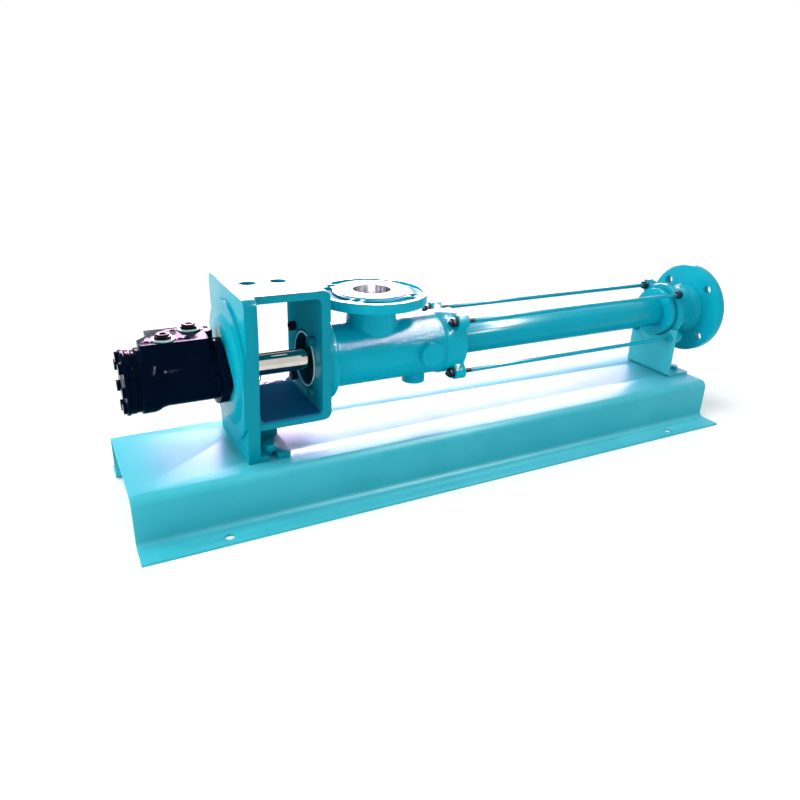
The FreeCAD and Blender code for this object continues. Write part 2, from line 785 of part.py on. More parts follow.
def drive_shaft():
    """Hollow-ended pump shaft: keyed on the motor shaft, with a cup for the coupling rod."""
    start = f"{MOTOR_FACE} + shaft_start"
    socket = f"{MOTOR_FACE} + motor_shaft_reach + 2"
    head, end = f"{JOINT_ONE} - joint_head_half - 4", f"{JOINT_ONE} + joint_head_half"
    cup = f"{JOINT_ONE} - joint_head_half"
    bore = "motor_shaft_radius + running_fit"
    body = turned("drive_shaft", [
        (start, bore), (start, "shaft_radius", "1"), (head, "shaft_radius"),
        (head, "shaft_head_radius"), (end, "shaft_head_radius", "1"), (end, "joint_cup_radius"),
        (cup, "joint_cup_radius"), (cup, "0"), (socket, "0"), (socket, bore)])
    keyway = sketch_on(body, "XY_Plane", "0")
    half = "key_width / 2 + running_fit"
    draw(keyway, [(f"{start} - 1", f"0 - ({half})"), (socket, f"0 - ({half})"),
                  (socket, half), (f"{start} - 1", half)])
    cut(body, keyway, "motor_shaft_radius + key_height / 2 + running_fit", back=True)
    cross_hole(body, JOINT_ONE, "0", "joint_pin_radius + running_fit")


def joint_pin(label, along, lift, head):
    """Hardened cross pin of a coupling joint, whose end corners stay inside the head."""
    body = new_body(label, lift=lift, along=along)
    outline = sketch_on(body, "XZ_Plane")
    circle(outline, "0", "0", "joint_pin_radius")
    pad(body, outline, f"sqrt(({head} - running_fit) ^ 2 - joint_pin_radius ^ 2) * 2", both=True)


def coupling_rod():
    """Rod from the shaft's cup to the rotor's cup, leaning by the rotor's eccentricity."""
    body = turned("coupling_rod", [
        ("0 - rod_end_half", "0"), ("0 - rod_end_half", "rod_end_radius", "2"),
        ("rod_end_half", "rod_end_radius", "2"), ("rod_end_half + 4", "rod_radius"),
        ("rod_span - rod_end_half - 4", "rod_radius"),
        ("rod_span - rod_end_half", "rod_end_radius", "2"),
        ("rod_span + rod_end_half", "rod_end_radius", "2"), ("rod_span + rod_end_half", "0")],
        along=JOINT_ONE)
    cross_hole(body, "0", "0", "joint_pin_radius + joint_pin_clearance")
    cross_hole(body, "rod_span", "0", "joint_pin_radius + joint_pin_clearance")
    place = body.Placement
    place.Rotation = FreeCAD.Rotation(FreeCAD.Vector(0, -1, 0), 1)
    body.Placement = place
    bind(body, "Placement.Rotation.Angle", "atan(eccentricity / rod_span)")


def joint_sleeve(label, along, lift, head, way):
    """Rubber sleeve over a joint: wide on the head, narrow on the rod."""
    inner, outer = f"{head} + sleeve_gap", f"{head} + sleeve_gap + sleeve_wall"
    back, rim = f"{way}(0 - 6)", f"{way}(joint_head_half + 1)"
    waist, tail = f"{way}(joint_head_half + 4)", f"{way}(joint_head_half + 12)"
    turned(label, [(back, inner), (rim, inner), (waist, "sleeve_neck"), (tail, "sleeve_neck"),
                   (tail, "sleeve_neck + sleeve_wall"), (waist, "sleeve_neck + sleeve_wall + 1"),
                   (rim, outer), (back, outer)], lift=lift, along=along)


# Rotor and stator, whose helical faces are lofted through turned sections

SECTIONS_PER_TURN = 8
ROTOR_SIDES = 16
STATOR_ARC_SIDES = 8
STATOR_STEPS_PER_TURN = 24


def polygon(points):
    """Closed wire through points."""
    return Part.makePolygon(points + points[:1])


def rotor_section(along, angle):
    """Round rotor section, carried on a small circle round the rotor's own axis."""
    radius, offset = size("rotor_radius"), size("eccentricity")
    centre = FreeCAD.Vector(along, -offset * math.sin(angle), offset * math.cos(angle))
    turns = [2 * math.pi * step / ROTOR_SIDES for step in range(ROTOR_SIDES)]
    return polygon([centre + FreeCAD.Vector(0, radius * math.cos(turn), radius * math.sin(turn))
                    for turn in turns])


def cavity_section(along, angle):
    """Stator cavity section: two half circles set four eccentricities apart, with flat sides."""
    step = math.pi / STATOR_ARC_SIDES
    radius = (size("rotor_radius") + size("rotor_clearance")) / math.cos(step / 2)
    shift = 2 * size("eccentricity")
    points = []
    for end in (0, math.pi):
        centre = FreeCAD.Vector(0, shift * math.cos(end), shift * math.sin(end))
        for number in range(STATOR_ARC_SIDES + 1):
            turn = end - math.pi / 2 + number * step
            points.append(centre + FreeCAD.Vector(0, radius * math.cos(turn), radius * math.sin(turn)))
    turned_by = FreeCAD.Rotation(FreeCAD.Vector(1, 0, 0), math.degrees(angle) + 90)
    return polygon([turned_by.multVec(point) + FreeCAD.Vector(along, 0, 0) for point in points])


def helical_loft(section, start, end, pitch, steps_per_turn):
    """Solid through evenly spaced sections that turn once in each pitch."""
    steps = max(2, round((end - start) / pitch * steps_per_turn))
    places = [start + (end - start) * step / steps for step in range(steps + 1)]
    helix_start = size(TUBE)
    return Part.makeLoft([section(place, 2 * math.pi * (place - helix_start) / pitch)
                          for place in places], True, True)


def feature(label, shape, lift):
    """Solid that its own code shapes, placed afterwards."""
    item = doc.addObject("Part::Feature", label)
    item.Label = label
    item.Shape = shape
    item.Placement = FreeCAD.Placement(FreeCAD.Vector(0, 0, size(lift)), FreeCAD.Rotation())
    return item


def rotor():
    """Single-start helical rotor with a cup for the coupling rod at its driven end."""
    x_axis = FreeCAD.Vector(1, 0, 0)
    joint = size(JOINT_TWO)
    half, cup = size("joint_head_half"), size("joint_cup_radius")
    start, end = joint + half - 1, size(TUBE_END) - size("rotor_end_gap")
    helix = helical_loft(rotor_section, start, end, size("rotor_pitch"), SECTIONS_PER_TURN)
    head = Part.makeCylinder(size("rotor_head_radius"), half * 2 + 3,
                             FreeCAD.Vector(joint - half, 0, 0), x_axis)
    hollow = Part.makeCylinder(cup, half * 2, FreeCAD.Vector(joint - half, 0, 0), x_axis)
    pin_hole = Part.makeCylinder(size("joint_pin_radius + running_fit"), 80,
                                 FreeCAD.Vector(joint, -40, 0), FreeCAD.Vector(0, 1, 0))
    feature("rotor", head.fuse(helix).cut(hollow).cut(pin_hole).removeSplitter(), ROTOR_AXIS)


def stator():
    """Steel tube with the moulded rubber lining, whose cavity has twice the rotor's pitch."""
    ring("stator_tube", TUBE, TUBE_END, "tube_bore", "tube_radius")
    start, end = size(TUBE), size(TUBE_END)
    cylinder = Part.makeCylinder(size("tube_bore"), end - start,
                                 FreeCAD.Vector(start, 0, 0), FreeCAD.Vector(1, 0, 0))
    cavity = helical_loft(cavity_section, start, end, 2 * size("rotor_pitch"), STATOR_STEPS_PER_TURN)
    feature("stator_lining", cylinder.cut(cavity), AXIS)
    ring("stator_collar", f"{TUBE_END} - collar_width", TUBE_END,
         "tube_radius + running_fit", "collar_radius")
    ring("suction_gasket", f"{TUBE} - gasket", TUBE, "gasket_bore", "tube_radius")
    ring("discharge_gasket", TUBE_END, BRANCH, "gasket_bore", "collar_seal_radius")


# Shaft seal

def shaft_seal():
    """Cover with the seat ring, and the turning ring with its bellows and drive collar."""
    tube = f"{PUMP_FACE} - seal_tube"
    spigot = f"{PUMP_FACE} - spigot_length"
    web = f"{HOUSING} - seal_web - seat_depth / 2"
    seat = f"{HOUSING} - seat_depth"
    turned("seal_cover", [
        (tube, "seal_tube_bore + seal_tube_chamfer"), (tube, "seal_tube_radius"),
        (spigot, "seal_tube_radius"), (spigot, "pump_bore_radius - running_fit"),
        (PUMP_FACE, "pump_bore_radius - running_fit"), (PUMP_FACE, "cover_radius"),
        (HOUSING, "cover_radius"), (HOUSING, "seat_radius"), (seat, "seat_radius"),
        (seat, "seal_bore"), (web, "seal_bore"), (web, "seal_tube_bore"),
        (f"{tube} + seal_tube_chamfer", "seal_tube_bore")])
    cover = doc.getObject("seal_cover")
    holes = sketch_on(cover, "YZ_Plane", f"{HOUSING} + 1")
    circle(holes, "housing_bolt_circle * cos(45)", "housing_bolt_circle * cos(45)",
           "housing_bolt / 2 + bolt_clearance")
    around(cover, [cut(cover, holes, "cover_flange + 2")], "4")
    shaft = "shaft_radius + running_fit"
    ring("seal_seat_ring", seat, SEAL_FACE, "seal_bore", "seat_radius - running_fit")
    ring("seal_turning_ring", SEAL_FACE, f"{SEAL_FACE} + seal_ring", shaft, "seal_ring_radius")
    start = f"({SEAL_FACE} + seal_ring)"
    end = f"({start} + bellows_length)"
    folds = [(start, shaft), (end, shaft), (end, "bellows_radius - 2.5")]
    for number in range(2 * int(size("bellows_folds")) - 1, 0, -1):
        depth = "0" if number % 2 else "2.5"
        folds.append((f"{start} + bellows_length * {number} / bellows_folds / 2",
                      f"bellows_radius - {depth}"))
    folds.append((start, "bellows_radius - 2.5"))
    turned("seal_bellows", folds)
    ring("seal_drive_collar", end, f"{end} + seal_collar", shaft, "bellows_radius")


# Suction housing

def flange_with_bore(body, plane, face, toward, centre):
    """Round pipe flange with raised face and four bolt holes, facing along a plane's normal."""
    disc = sketch_on(body, plane, face)
    circle(disc, centre, "0", "flange_radius")
    pad(body, disc, "flange_thickness", back=toward)
    nose = sketch_on(body, plane, face)
    circle(nose, centre, "0", "raised_face_radius")
    pad(body, nose, "raised_face", back=not toward)
    holes = sketch_on(body, plane, face)
    for left in ("-", "+"):
        for up in ("-", ""):
            circle(holes, f"{centre} {left} flange_bolt_circle * cos(45)",
                   f"{up}flange_bolt_circle * cos(45)", "flange_hole")
    cut(body, holes, "flange_thickness + 1", back=not toward)


def suction_flange(body):
    """Upright suction neck with its flange and the four cored pockets between the bolt holes."""
    neck = sketch_on(body, "XY_Plane", "0")
    circle(neck, SUCTION, "0", "neck_radius")
    pad(body, neck, "suction_height - flange_thickness / 2")
    low, high = size("housing_radius * 0.5"), size("housing_radius * 1.02")
    neck_x, neck_r = size(SUCTION), size("neck_radius")

    def at_root(edge):
        box = edge.BoundBox
        inside = abs(box.Center.x - neck_x) < neck_r and box.ZMin > low - 1 and box.ZMax < high
        return inside and box.XLength > neck_r and box.YLength > neck_r / 2

    soften(body, "neck_fillet", at_root)
    flange_with_bore(body, "XY_Plane", "suction_height", True, SUCTION)
    pocket = sketch_on(body, "XY_Plane", "suction_height")
    sector_outline(pocket)
    hollow = cut(body, pocket, "pocket_depth")
    centre = sketch_on(body, "XY_Plane", "suction_height + raised_face")
    bind(centre, "AttachmentOffset.Base.x", SUCTION)
    circle(centre, "0", "0", "pipe_bore")
    cut(body, centre, "suction_height + raised_face")
    around(body, [hollow], "4", axis=centre)


def sector_outline(sketch):
    """Kidney between two bolt holes: two arcs round the flange centre, joined by round ends."""
    centre_x = size(SUCTION)
    inner, outer = size("pocket_inner"), size("pocket_outer")
    middle, half = (inner + outer) / 2, math.radians(size("pocket_half_angle"))
    end = (outer - inner) / 2

    def spot(radius, turn):
        return FreeCAD.Vector(centre_x + radius * math.sin(turn), -radius * math.cos(turn), 0)

    curves = [Part.Arc(spot(outer, -half), spot(outer, 0), spot(outer, half)),
              Part.Arc(spot(outer, half), spot(middle, half + end / middle), spot(inner, half)),
              Part.Arc(spot(inner, half), spot(inner, 0), spot(inner, -half)),
              Part.Arc(spot(inner, -half), spot(middle, -half - end / middle), spot(outer, -half))]
    numbers = [sketch.addGeometry(curve) for curve in curves]
    pivot = sketch.addGeometry(Part.Point(FreeCAD.Vector(centre_x, 0, 0)), True)
    fix_point(sketch, pivot, 1, (SUCTION, "0"))
    relate(sketch, "Coincident", numbers[0], 3, pivot, 1)
    relate(sketch, "Coincident", numbers[2], 3, pivot, 1)
    fix(sketch, "Radius", (numbers[0],), "pocket_outer")
    fix(sketch, "Radius", (numbers[2],), "pocket_inner")
    joins = ((numbers[0], numbers[1]), (numbers[1], numbers[2]),
             (numbers[2], numbers[3]), (numbers[3], numbers[0]))
    for one, other in joins:
        ends = min(((first, second) for first in (1, 2) for second in (1, 2)),
                   key=lambda pair: sketch.getPoint(one, pair[0]).distanceToPoint(
                       sketch.getPoint(other, pair[1])))
        relate(sketch, "Tangent", one, ends[0], other, ends[1])
    reach = "(pocket_outer + pocket_inner) / 2"
    for number, way in ((numbers[1], ""), (numbers[3], "0 - ")):
        fix(sketch, "DistanceX", (pivot, 1, number, 3), f"{way}{reach} * sin(pocket_half_angle)")


def rod_lugs(body, start, width, web_radius):
    """Four tie-rod lugs round the axis, each a round boss on a web."""
    lug = sketch_on(body, "YZ_Plane", start)
    circle(lug, DIAGONAL, DIAGONAL, "lug_radius")
    boss = pad(body, lug, width)
    web = sketch_on(body, "YZ_Plane", start)
    side = "lug_radius * cos(45)"
    root = f"({web_radius} * cos(45) * 0.8)"
    draw(web, [(f"{root} + {side}", f"{root} - {side}"), (f"{DIAGONAL} + {side}", f"{DIAGONAL} - {side}"),
               (f"{DIAGONAL} - {side}", f"{DIAGONAL} + {side}"), (f"{root} - {side}", f"{root} + {side}")])
    arm = pad(body, web, width)
    around(body, [boss, arm], "4")
    holes = sketch_on(body, "YZ_Plane", start)
    circle(holes, DIAGONAL, DIAGONAL, "tie_rod_radius + bolt_clearance")
    around(body, [cut(body, holes, width, back=True)], "4")


def suction_housing():
    """Cast suction housing with shaft-side flange, suction branch, two bosses and rod lugs."""
    body = new_body("suction_housing")
    flange_end = f"{HOUSING} + housing_flange"
    end_start = f"{HOUSING_END} - housing_end_width"
    spin(body, "Revolution", [
        (HOUSING, "0"), (HOUSING, "cover_radius"), (flange_end, "cover_radius", "2"),
        (flange_end, "housing_radius", "4"), (end_start, "housing_radius"),
        (f"{end_start} + 4", "housing_end_radius", "2"),
        (HOUSING_END, "housing_end_radius", "2"),
        (f"{HOUSING_END} + housing_nose", "nose_radius", "1.5"),
        (f"{HOUSING_END} + housing_nose", "0")])
    suction_flange(body)
    front = sketch_on(body, "XZ_Plane", "housing_radius * 0.8")
    circle(front, f"{HOUSING_END} - boss_port_from_end", "0", "boss_port_radius")
    pad(body, front, "boss_port_reach - housing_radius * 0.8")
    below = sketch_on(body, "XY_Plane", "0 - housing_radius * 0.8")
    circle(below, f"{HOUSING_END} - boss_port_from_end", "0", "boss_port_radius")
    pad(body, below, "boss_port_reach - housing_radius * 0.8", back=True)
    rod_lugs(body, f"{HOUSING_END} - suction_lug", "suction_lug", "housing_end_radius")
    throat = f"{TUBE} - gasket"
    seat = "tube_radius + seat_fit"
    spin(body, "Groove", [
        (f"{HOUSING} - 1", "0"), (f"{HOUSING} - 1", "housing_bore"),
        (f"{throat} - throat_length", "housing_bore", "3"), (f"{throat} - throat_length", "throat_radius"),
        (throat, "throat_radius"), (throat, seat),
        (f"{HOUSING_END} + housing_nose + 1", seat), (f"{HOUSING_END} + housing_nose + 1", "0")])
    holes = sketch_on(body, "YZ_Plane", f"{HOUSING} - 1")
    circle(holes, "housing_bolt_circle * cos(45)", "housing_bolt_circle * cos(45)",
           "housing_bolt / 2 + thread_clearance")
    around(body, [cut(body, holes, "housing_flange + 2", back=True)], "4")
    return body


def housing_bolts():
    """Socket head screws that join pump plate, seal cover and suction housing."""
    screws = new_body("housing_bolts")
    place = "housing_bolt_circle * cos(45)"
    under_head = f"{PUMP_FACE} - pump_plate"
    head = sketch_on(screws, "YZ_Plane", under_head)
    circle(head, place, place, "housing_bolt_head")
    cap = pad(screws, head, "housing_bolt", back=True)
    shank = sketch_on(screws, "YZ_Plane", under_head)
    circle(shank, place, place, "housing_bolt / 2")
    stem = pad(screws, shank, "pump_plate + cover_flange + housing_flange - 1")
    socket = sketch_on(screws, "YZ_Plane", f"{under_head} - housing_bolt")
    hexagon(socket, place, place, "housing_bolt_socket")
    key_hole = cut(screws, socket, "housing_bolt / 2", back=True)
    around(screws, [cap, stem, key_hole], "4")


# Discharge branch, tie rods and support foot

def discharge_branch():
    """Cast discharge branch with lug ring, neck and flange."""
    body = new_body("discharge_branch")
    root = f"{DISCHARGE} - neck_root"
    spin(body, "Revolution", [
        (BRANCH, "0"), (BRANCH, "lug_ring_radius", "1.5"),
        (f"{BRANCH} + lug_ring", "lug_ring_radius", "1.5"),
        (f"{BRANCH} + lug_ring", "branch_neck_radius", "5"), (root, "branch_neck_radius", "4"),
        (f"{root} + 4", "neck_root_radius", "2"), (f"{DISCHARGE} + 1", "neck_root_radius"),
        (f"{DISCHARGE} + 1", "0")])
    rod_lugs(body, BRANCH, "lug_ring", "branch_neck_radius")
    flange_with_bore(body, "YZ_Plane", f"{DISCHARGE} + flange_thickness", True, "0")
    bore = sketch_on(body, "YZ_Plane", f"{DISCHARGE} + flange_thickness + raised_face")
    circle(bore, "0", "0", "pipe_bore")
    cut(body, bore, "branch_length + flange_thickness + raised_face + 1")
    return body


def rod_spots(ups):
    """Places of the tie rods in a cross-section, for the chosen rows."""
    return [(f"{side}{DIAGONAL}", f"{up}{DIAGONAL}") for up in ups for side in ("", "-")]


def rod_fasteners(name, face, towards, ups):
    """Washers and nuts that stand on one face, one pair on each chosen rod."""
    sign = "+" if towards else "-"
    washers = new_body(f"{name}_rod_washers")
    discs = sketch_on(washers, "YZ_Plane", face)
    nuts = new_body(f"{name}_rod_nuts")
    outlines = sketch_on(nuts, "YZ_Plane", f"{face} {sign} rod_washer")
    for across, up in rod_spots(ups):
        circle(discs, across, up, "rod_washer_radius")
        circle(discs, across, up, "tie_rod_radius + bolt_clearance")
        hexagon(outlines, across, up, "rod_nut_flats")
        circle(outlines, across, up, "tie_rod_radius + thread_clearance")
    pad(washers, discs, "rod_washer", back=not towards)
    pad(nuts, outlines, "rod_nut", back=not towards)


def tie_rods():
    """Four tie rods with washers and nuts at the suction lugs and on both sides of the branch."""
    stack = "(rod_washer + rod_nut)"
    suction_side = f"({HOUSING_END} - suction_lug)"
    branch_end = f"({BRANCH} + lug_ring)"
    rods = new_body("tie_rods")
    start = f"({suction_side} - {stack} - rod_tail)"
    outline = sketch_on(rods, "YZ_Plane", start)
    for across, up in rod_spots(("", "-")):
        circle(outline, across, up, "tie_rod_radius")
    pad(rods, outline, f"{branch_end} + {stack} + rod_tail - {start}")
    rod_fasteners("suction", suction_side, False, ("", "-"))
    rod_fasteners("upper_inner", BRANCH, False, ("",))
    rod_fasteners("lower_inner", f"{BRANCH} - support_sheet", False, ("-",))
    rod_fasteners("outer", branch_end, True, ("", "-"))


def support_foot():
    """Bent plate under the discharge end, held by the two lower tie rods."""
    body = new_body("support_foot", lift="0", along=BRANCH)
    profile = sketch_on(body, "XZ_Plane")
    top = "axis_height - support_top"
    draw(profile, [("0", top), ("0 - support_sheet", top), ("0 - support_sheet", "base_top", "support_bend"),
                   ("support_foot", "base_top"), ("support_foot", "base_top + support_sheet"),
                   ("0", "base_top + support_sheet", "support_bend - support_sheet")])
    pad(body, profile, "support_half_width * 2", both=True)
    opening = sketch_on(body, "YZ_Plane", "1")
    circle(opening, "0", AXIS, "collar_radius + support_cutout_gap")
    for side in ("-", ""):
        circle(opening, f"{side}{DIAGONAL}", f"axis_height - {DIAGONAL}", "tie_rod_radius + bolt_clearance")
    cut(body, opening, "support_sheet + 2")
    bolts = sketch_on(body, "XY_Plane", "base_top")
    for side in ("-", ""):
        circle(bolts, "support_bolt_place", f"{side}support_bolt_half", "support_bolt / 2 + bolt_clearance")
    cut(body, bolts, "support_sheet", back=True)
    return body


def support_fasteners():
    """Bolts, washers and nuts that hold the support foot on the base."""
    spot = (f"{BRANCH} + support_bolt_place", "0 - support_bolt_half")
    top = "base_top + support_sheet"
    washers = new_body("support_washers", lift="0")
    one = washer(washers, "XY_Plane", spot, top, "support_bolt", "support_bolt / 2 + bolt_clearance",
                 "washer_sheet")
    along_y(washers, [one], "support_bolt_half * 2")
    bolts = new_body("support_bolts", lift="0")
    parts = bolt(bolts, "XY_Plane", spot, f"{top} + washer_sheet", "support_bolt",
                 "support_sheet + washer_sheet + base_sheet + support_bolt * 1.1")
    along_y(bolts, parts, "support_bolt_half * 2")
    nuts = new_body("support_nuts", lift="0")
    one = nut(nuts, "XY_Plane", spot, "base_top - base_sheet", head_flats("support_bolt"),
              "support_bolt * 0.85", "support_bolt / 2", towards=False)
    along_y(nuts, [one], "support_bolt_half * 2")


def build():
    """Make every sub-part."""
    base_frame()
    lantern_bracket()
    bracket_fasteners()
    motor_body()
    motor_stack()
    port_plugs()
    motor_fasteners()
    motor_shaft()
    drive_shaft()
    joint_pin("shaft_joint_pin", JOINT_ONE, AXIS, "shaft_head_radius")
    coupling_rod()
    joint_pin("rotor_joint_pin", JOINT_TWO, ROTOR_AXIS, "rotor_head_radius")
    joint_sleeve("shaft_joint_sleeve", JOINT_ONE, AXIS, "shaft_head_radius", "")
    joint_sleeve("rotor_joint_sleeve", JOINT_TWO, ROTOR_AXIS, "rotor_head_radius", "0 - ")
    rotor()
    stator()
    shaft_seal()
    suction_housing()
    housing_bolts()
    discharge_branch()
    tie_rods()
    support_foot()
    support_fasteners()


def check_and_write():
    """Stop on any failed object, then write one STEP file per sub-part."""
    doc.recompute()
    failed = [item.Name for item in doc.Objects if {"Invalid", "Error"} & set(item.State)]
    nodes = [item for item in doc.Objects if item.TypeId in ("PartDesign::Body", "Part::Feature")]
    failed += [item.Label for item in nodes if item.Shape.isNull() or not item.Shape.isValid()]
    if failed:
        raise RuntimeError(f"failed: {failed}")
    os.makedirs("parts", exist_ok=True)
    for item in nodes:
        item.Shape.exportStep(f"parts/{item.Label}.step")
        print(item.Label, len(item.Shape.Solids), round(item.Shape.Volume))


build()
check_and_write()
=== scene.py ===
"""Progressive cavity pump with a hydraulic motor on a folded base: looks, light and camera."""

import json
import logging
import math
from dataclasses import dataclass
from enum import Enum

import bmesh
import bpy
from mathutils import Matrix, Vector

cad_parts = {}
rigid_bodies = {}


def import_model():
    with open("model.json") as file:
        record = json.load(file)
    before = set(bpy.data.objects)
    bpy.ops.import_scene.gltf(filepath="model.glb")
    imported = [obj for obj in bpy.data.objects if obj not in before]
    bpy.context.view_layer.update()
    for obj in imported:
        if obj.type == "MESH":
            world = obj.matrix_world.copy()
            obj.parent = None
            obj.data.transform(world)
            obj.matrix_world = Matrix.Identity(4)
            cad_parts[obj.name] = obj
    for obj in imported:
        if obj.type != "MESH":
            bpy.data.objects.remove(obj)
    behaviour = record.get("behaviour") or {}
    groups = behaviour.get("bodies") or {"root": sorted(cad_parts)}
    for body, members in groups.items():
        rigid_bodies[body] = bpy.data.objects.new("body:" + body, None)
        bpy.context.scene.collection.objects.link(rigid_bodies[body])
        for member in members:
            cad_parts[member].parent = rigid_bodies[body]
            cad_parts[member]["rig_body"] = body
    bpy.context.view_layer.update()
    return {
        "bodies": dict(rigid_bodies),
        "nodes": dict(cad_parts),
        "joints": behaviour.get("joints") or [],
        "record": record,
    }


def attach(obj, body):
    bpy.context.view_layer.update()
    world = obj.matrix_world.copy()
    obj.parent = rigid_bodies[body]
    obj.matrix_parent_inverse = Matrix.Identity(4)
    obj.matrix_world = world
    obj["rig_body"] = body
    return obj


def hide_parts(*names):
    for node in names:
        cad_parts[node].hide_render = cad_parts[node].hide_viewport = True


LOG = logging.getLogger("pump")
AXIS_HEIGHT = 0.2134
MERGE_DISTANCE = 0.000004
FLAT_ANGLE = math.radians(0.6)
SHARP_ANGLE = math.radians(28.0)
TOOL_MARK_DEPTH = 0.000004
DRIFT_SCALE = 9.0
GLOSS_SCALE = 34.0
STREAK_SCALE = 130.0
STREAK_STRETCH = 0.05
RELIEF_SCALE = 420.0
FINE_GRAIN_SHARE = 0.2
WATTS_FOR_GLOW = 4.0
Colour = tuple[float, float, float]


class Grain(Enum):
    """How rough the metal under a coat of paint is."""

    SHEET = "rolled sheet"
    CAST = "sand casting"
    FINE_CAST = "fine casting"


class Turning(Enum):
    """Which way the tool marks run on a machined face."""

    ROUND_X = "rings about the pump axis"
    PLAIN = "no rings"


class Axis(Enum):
    """Axis that a zone is measured along and round."""

    X = 0
    Z = 2


@dataclass(frozen=True, kw_only=True)
class Zone:
    """Part of a piece with its own look."""

    colour: Colour
    streak: Colour | None = None
    metallic: float = 0.0
    roughness: float = 0.35
    relief: float = 0.0
    smooth: bool = False
    blur: float = 0.0004

    def mask(self, nodes: "Nodes") -> bpy.types.NodeSocket:
        """Factor that is one inside the zone; each kind of zone says how it is measured."""
        raise NotImplementedError


@dataclass(frozen=True, kw_only=True)
class RingZone(Zone):
    """Zone between two planes across an axis and between two radii round it."""

    axis: Axis
    low: float
    high: float
    centre: Colour = (0.0, 0.0, AXIS_HEIGHT)
    inner: float = -1.0
    outer: float = 9.0

    def mask(self, nodes: "Nodes") -> bpy.types.NodeSocket:
        """Product of the two planes' and the two radii's steps."""
        along = nodes.parts(nodes.place)[self.axis.value]
        flat = tuple(0.0 if index == self.axis.value else 1.0 for index in range(3))
        radius = nodes.length(nodes.scaled(nodes.offset(self.centre), flat))
        soft = self.blur
        factor = nodes.spread(along, self.low - soft, self.low + soft, 0.0, 1.0)
        factor = nodes.times(factor, nodes.spread(along, self.high - soft, self.high + soft, 1.0, 0.0))
        factor = nodes.times(factor, nodes.spread(radius, self.inner - soft, self.inner + soft, 0.0, 1.0))
        return nodes.times(factor, nodes.spread(radius, self.outer - soft, self.outer + soft, 1.0, 0.0))


@dataclass(frozen=True, kw_only=True)
class BoxZone(Zone):
    """Zone inside an upright box, given by its centre and half sizes."""

    centre: Colour
    half: Colour

    def mask(self, nodes: "Nodes") -> bpy.types.NodeSocket:
        """Product of one step on each axis."""
        factor = None
        for part, half in zip(nodes.parts(nodes.offset(self.centre)), self.half):
            step = nodes.spread(nodes.size(part), half - self.blur, half + self.blur, 1.0, 0.0)
            factor = step if factor is None else nodes.times(factor, step)
        return factor


# Node helpers


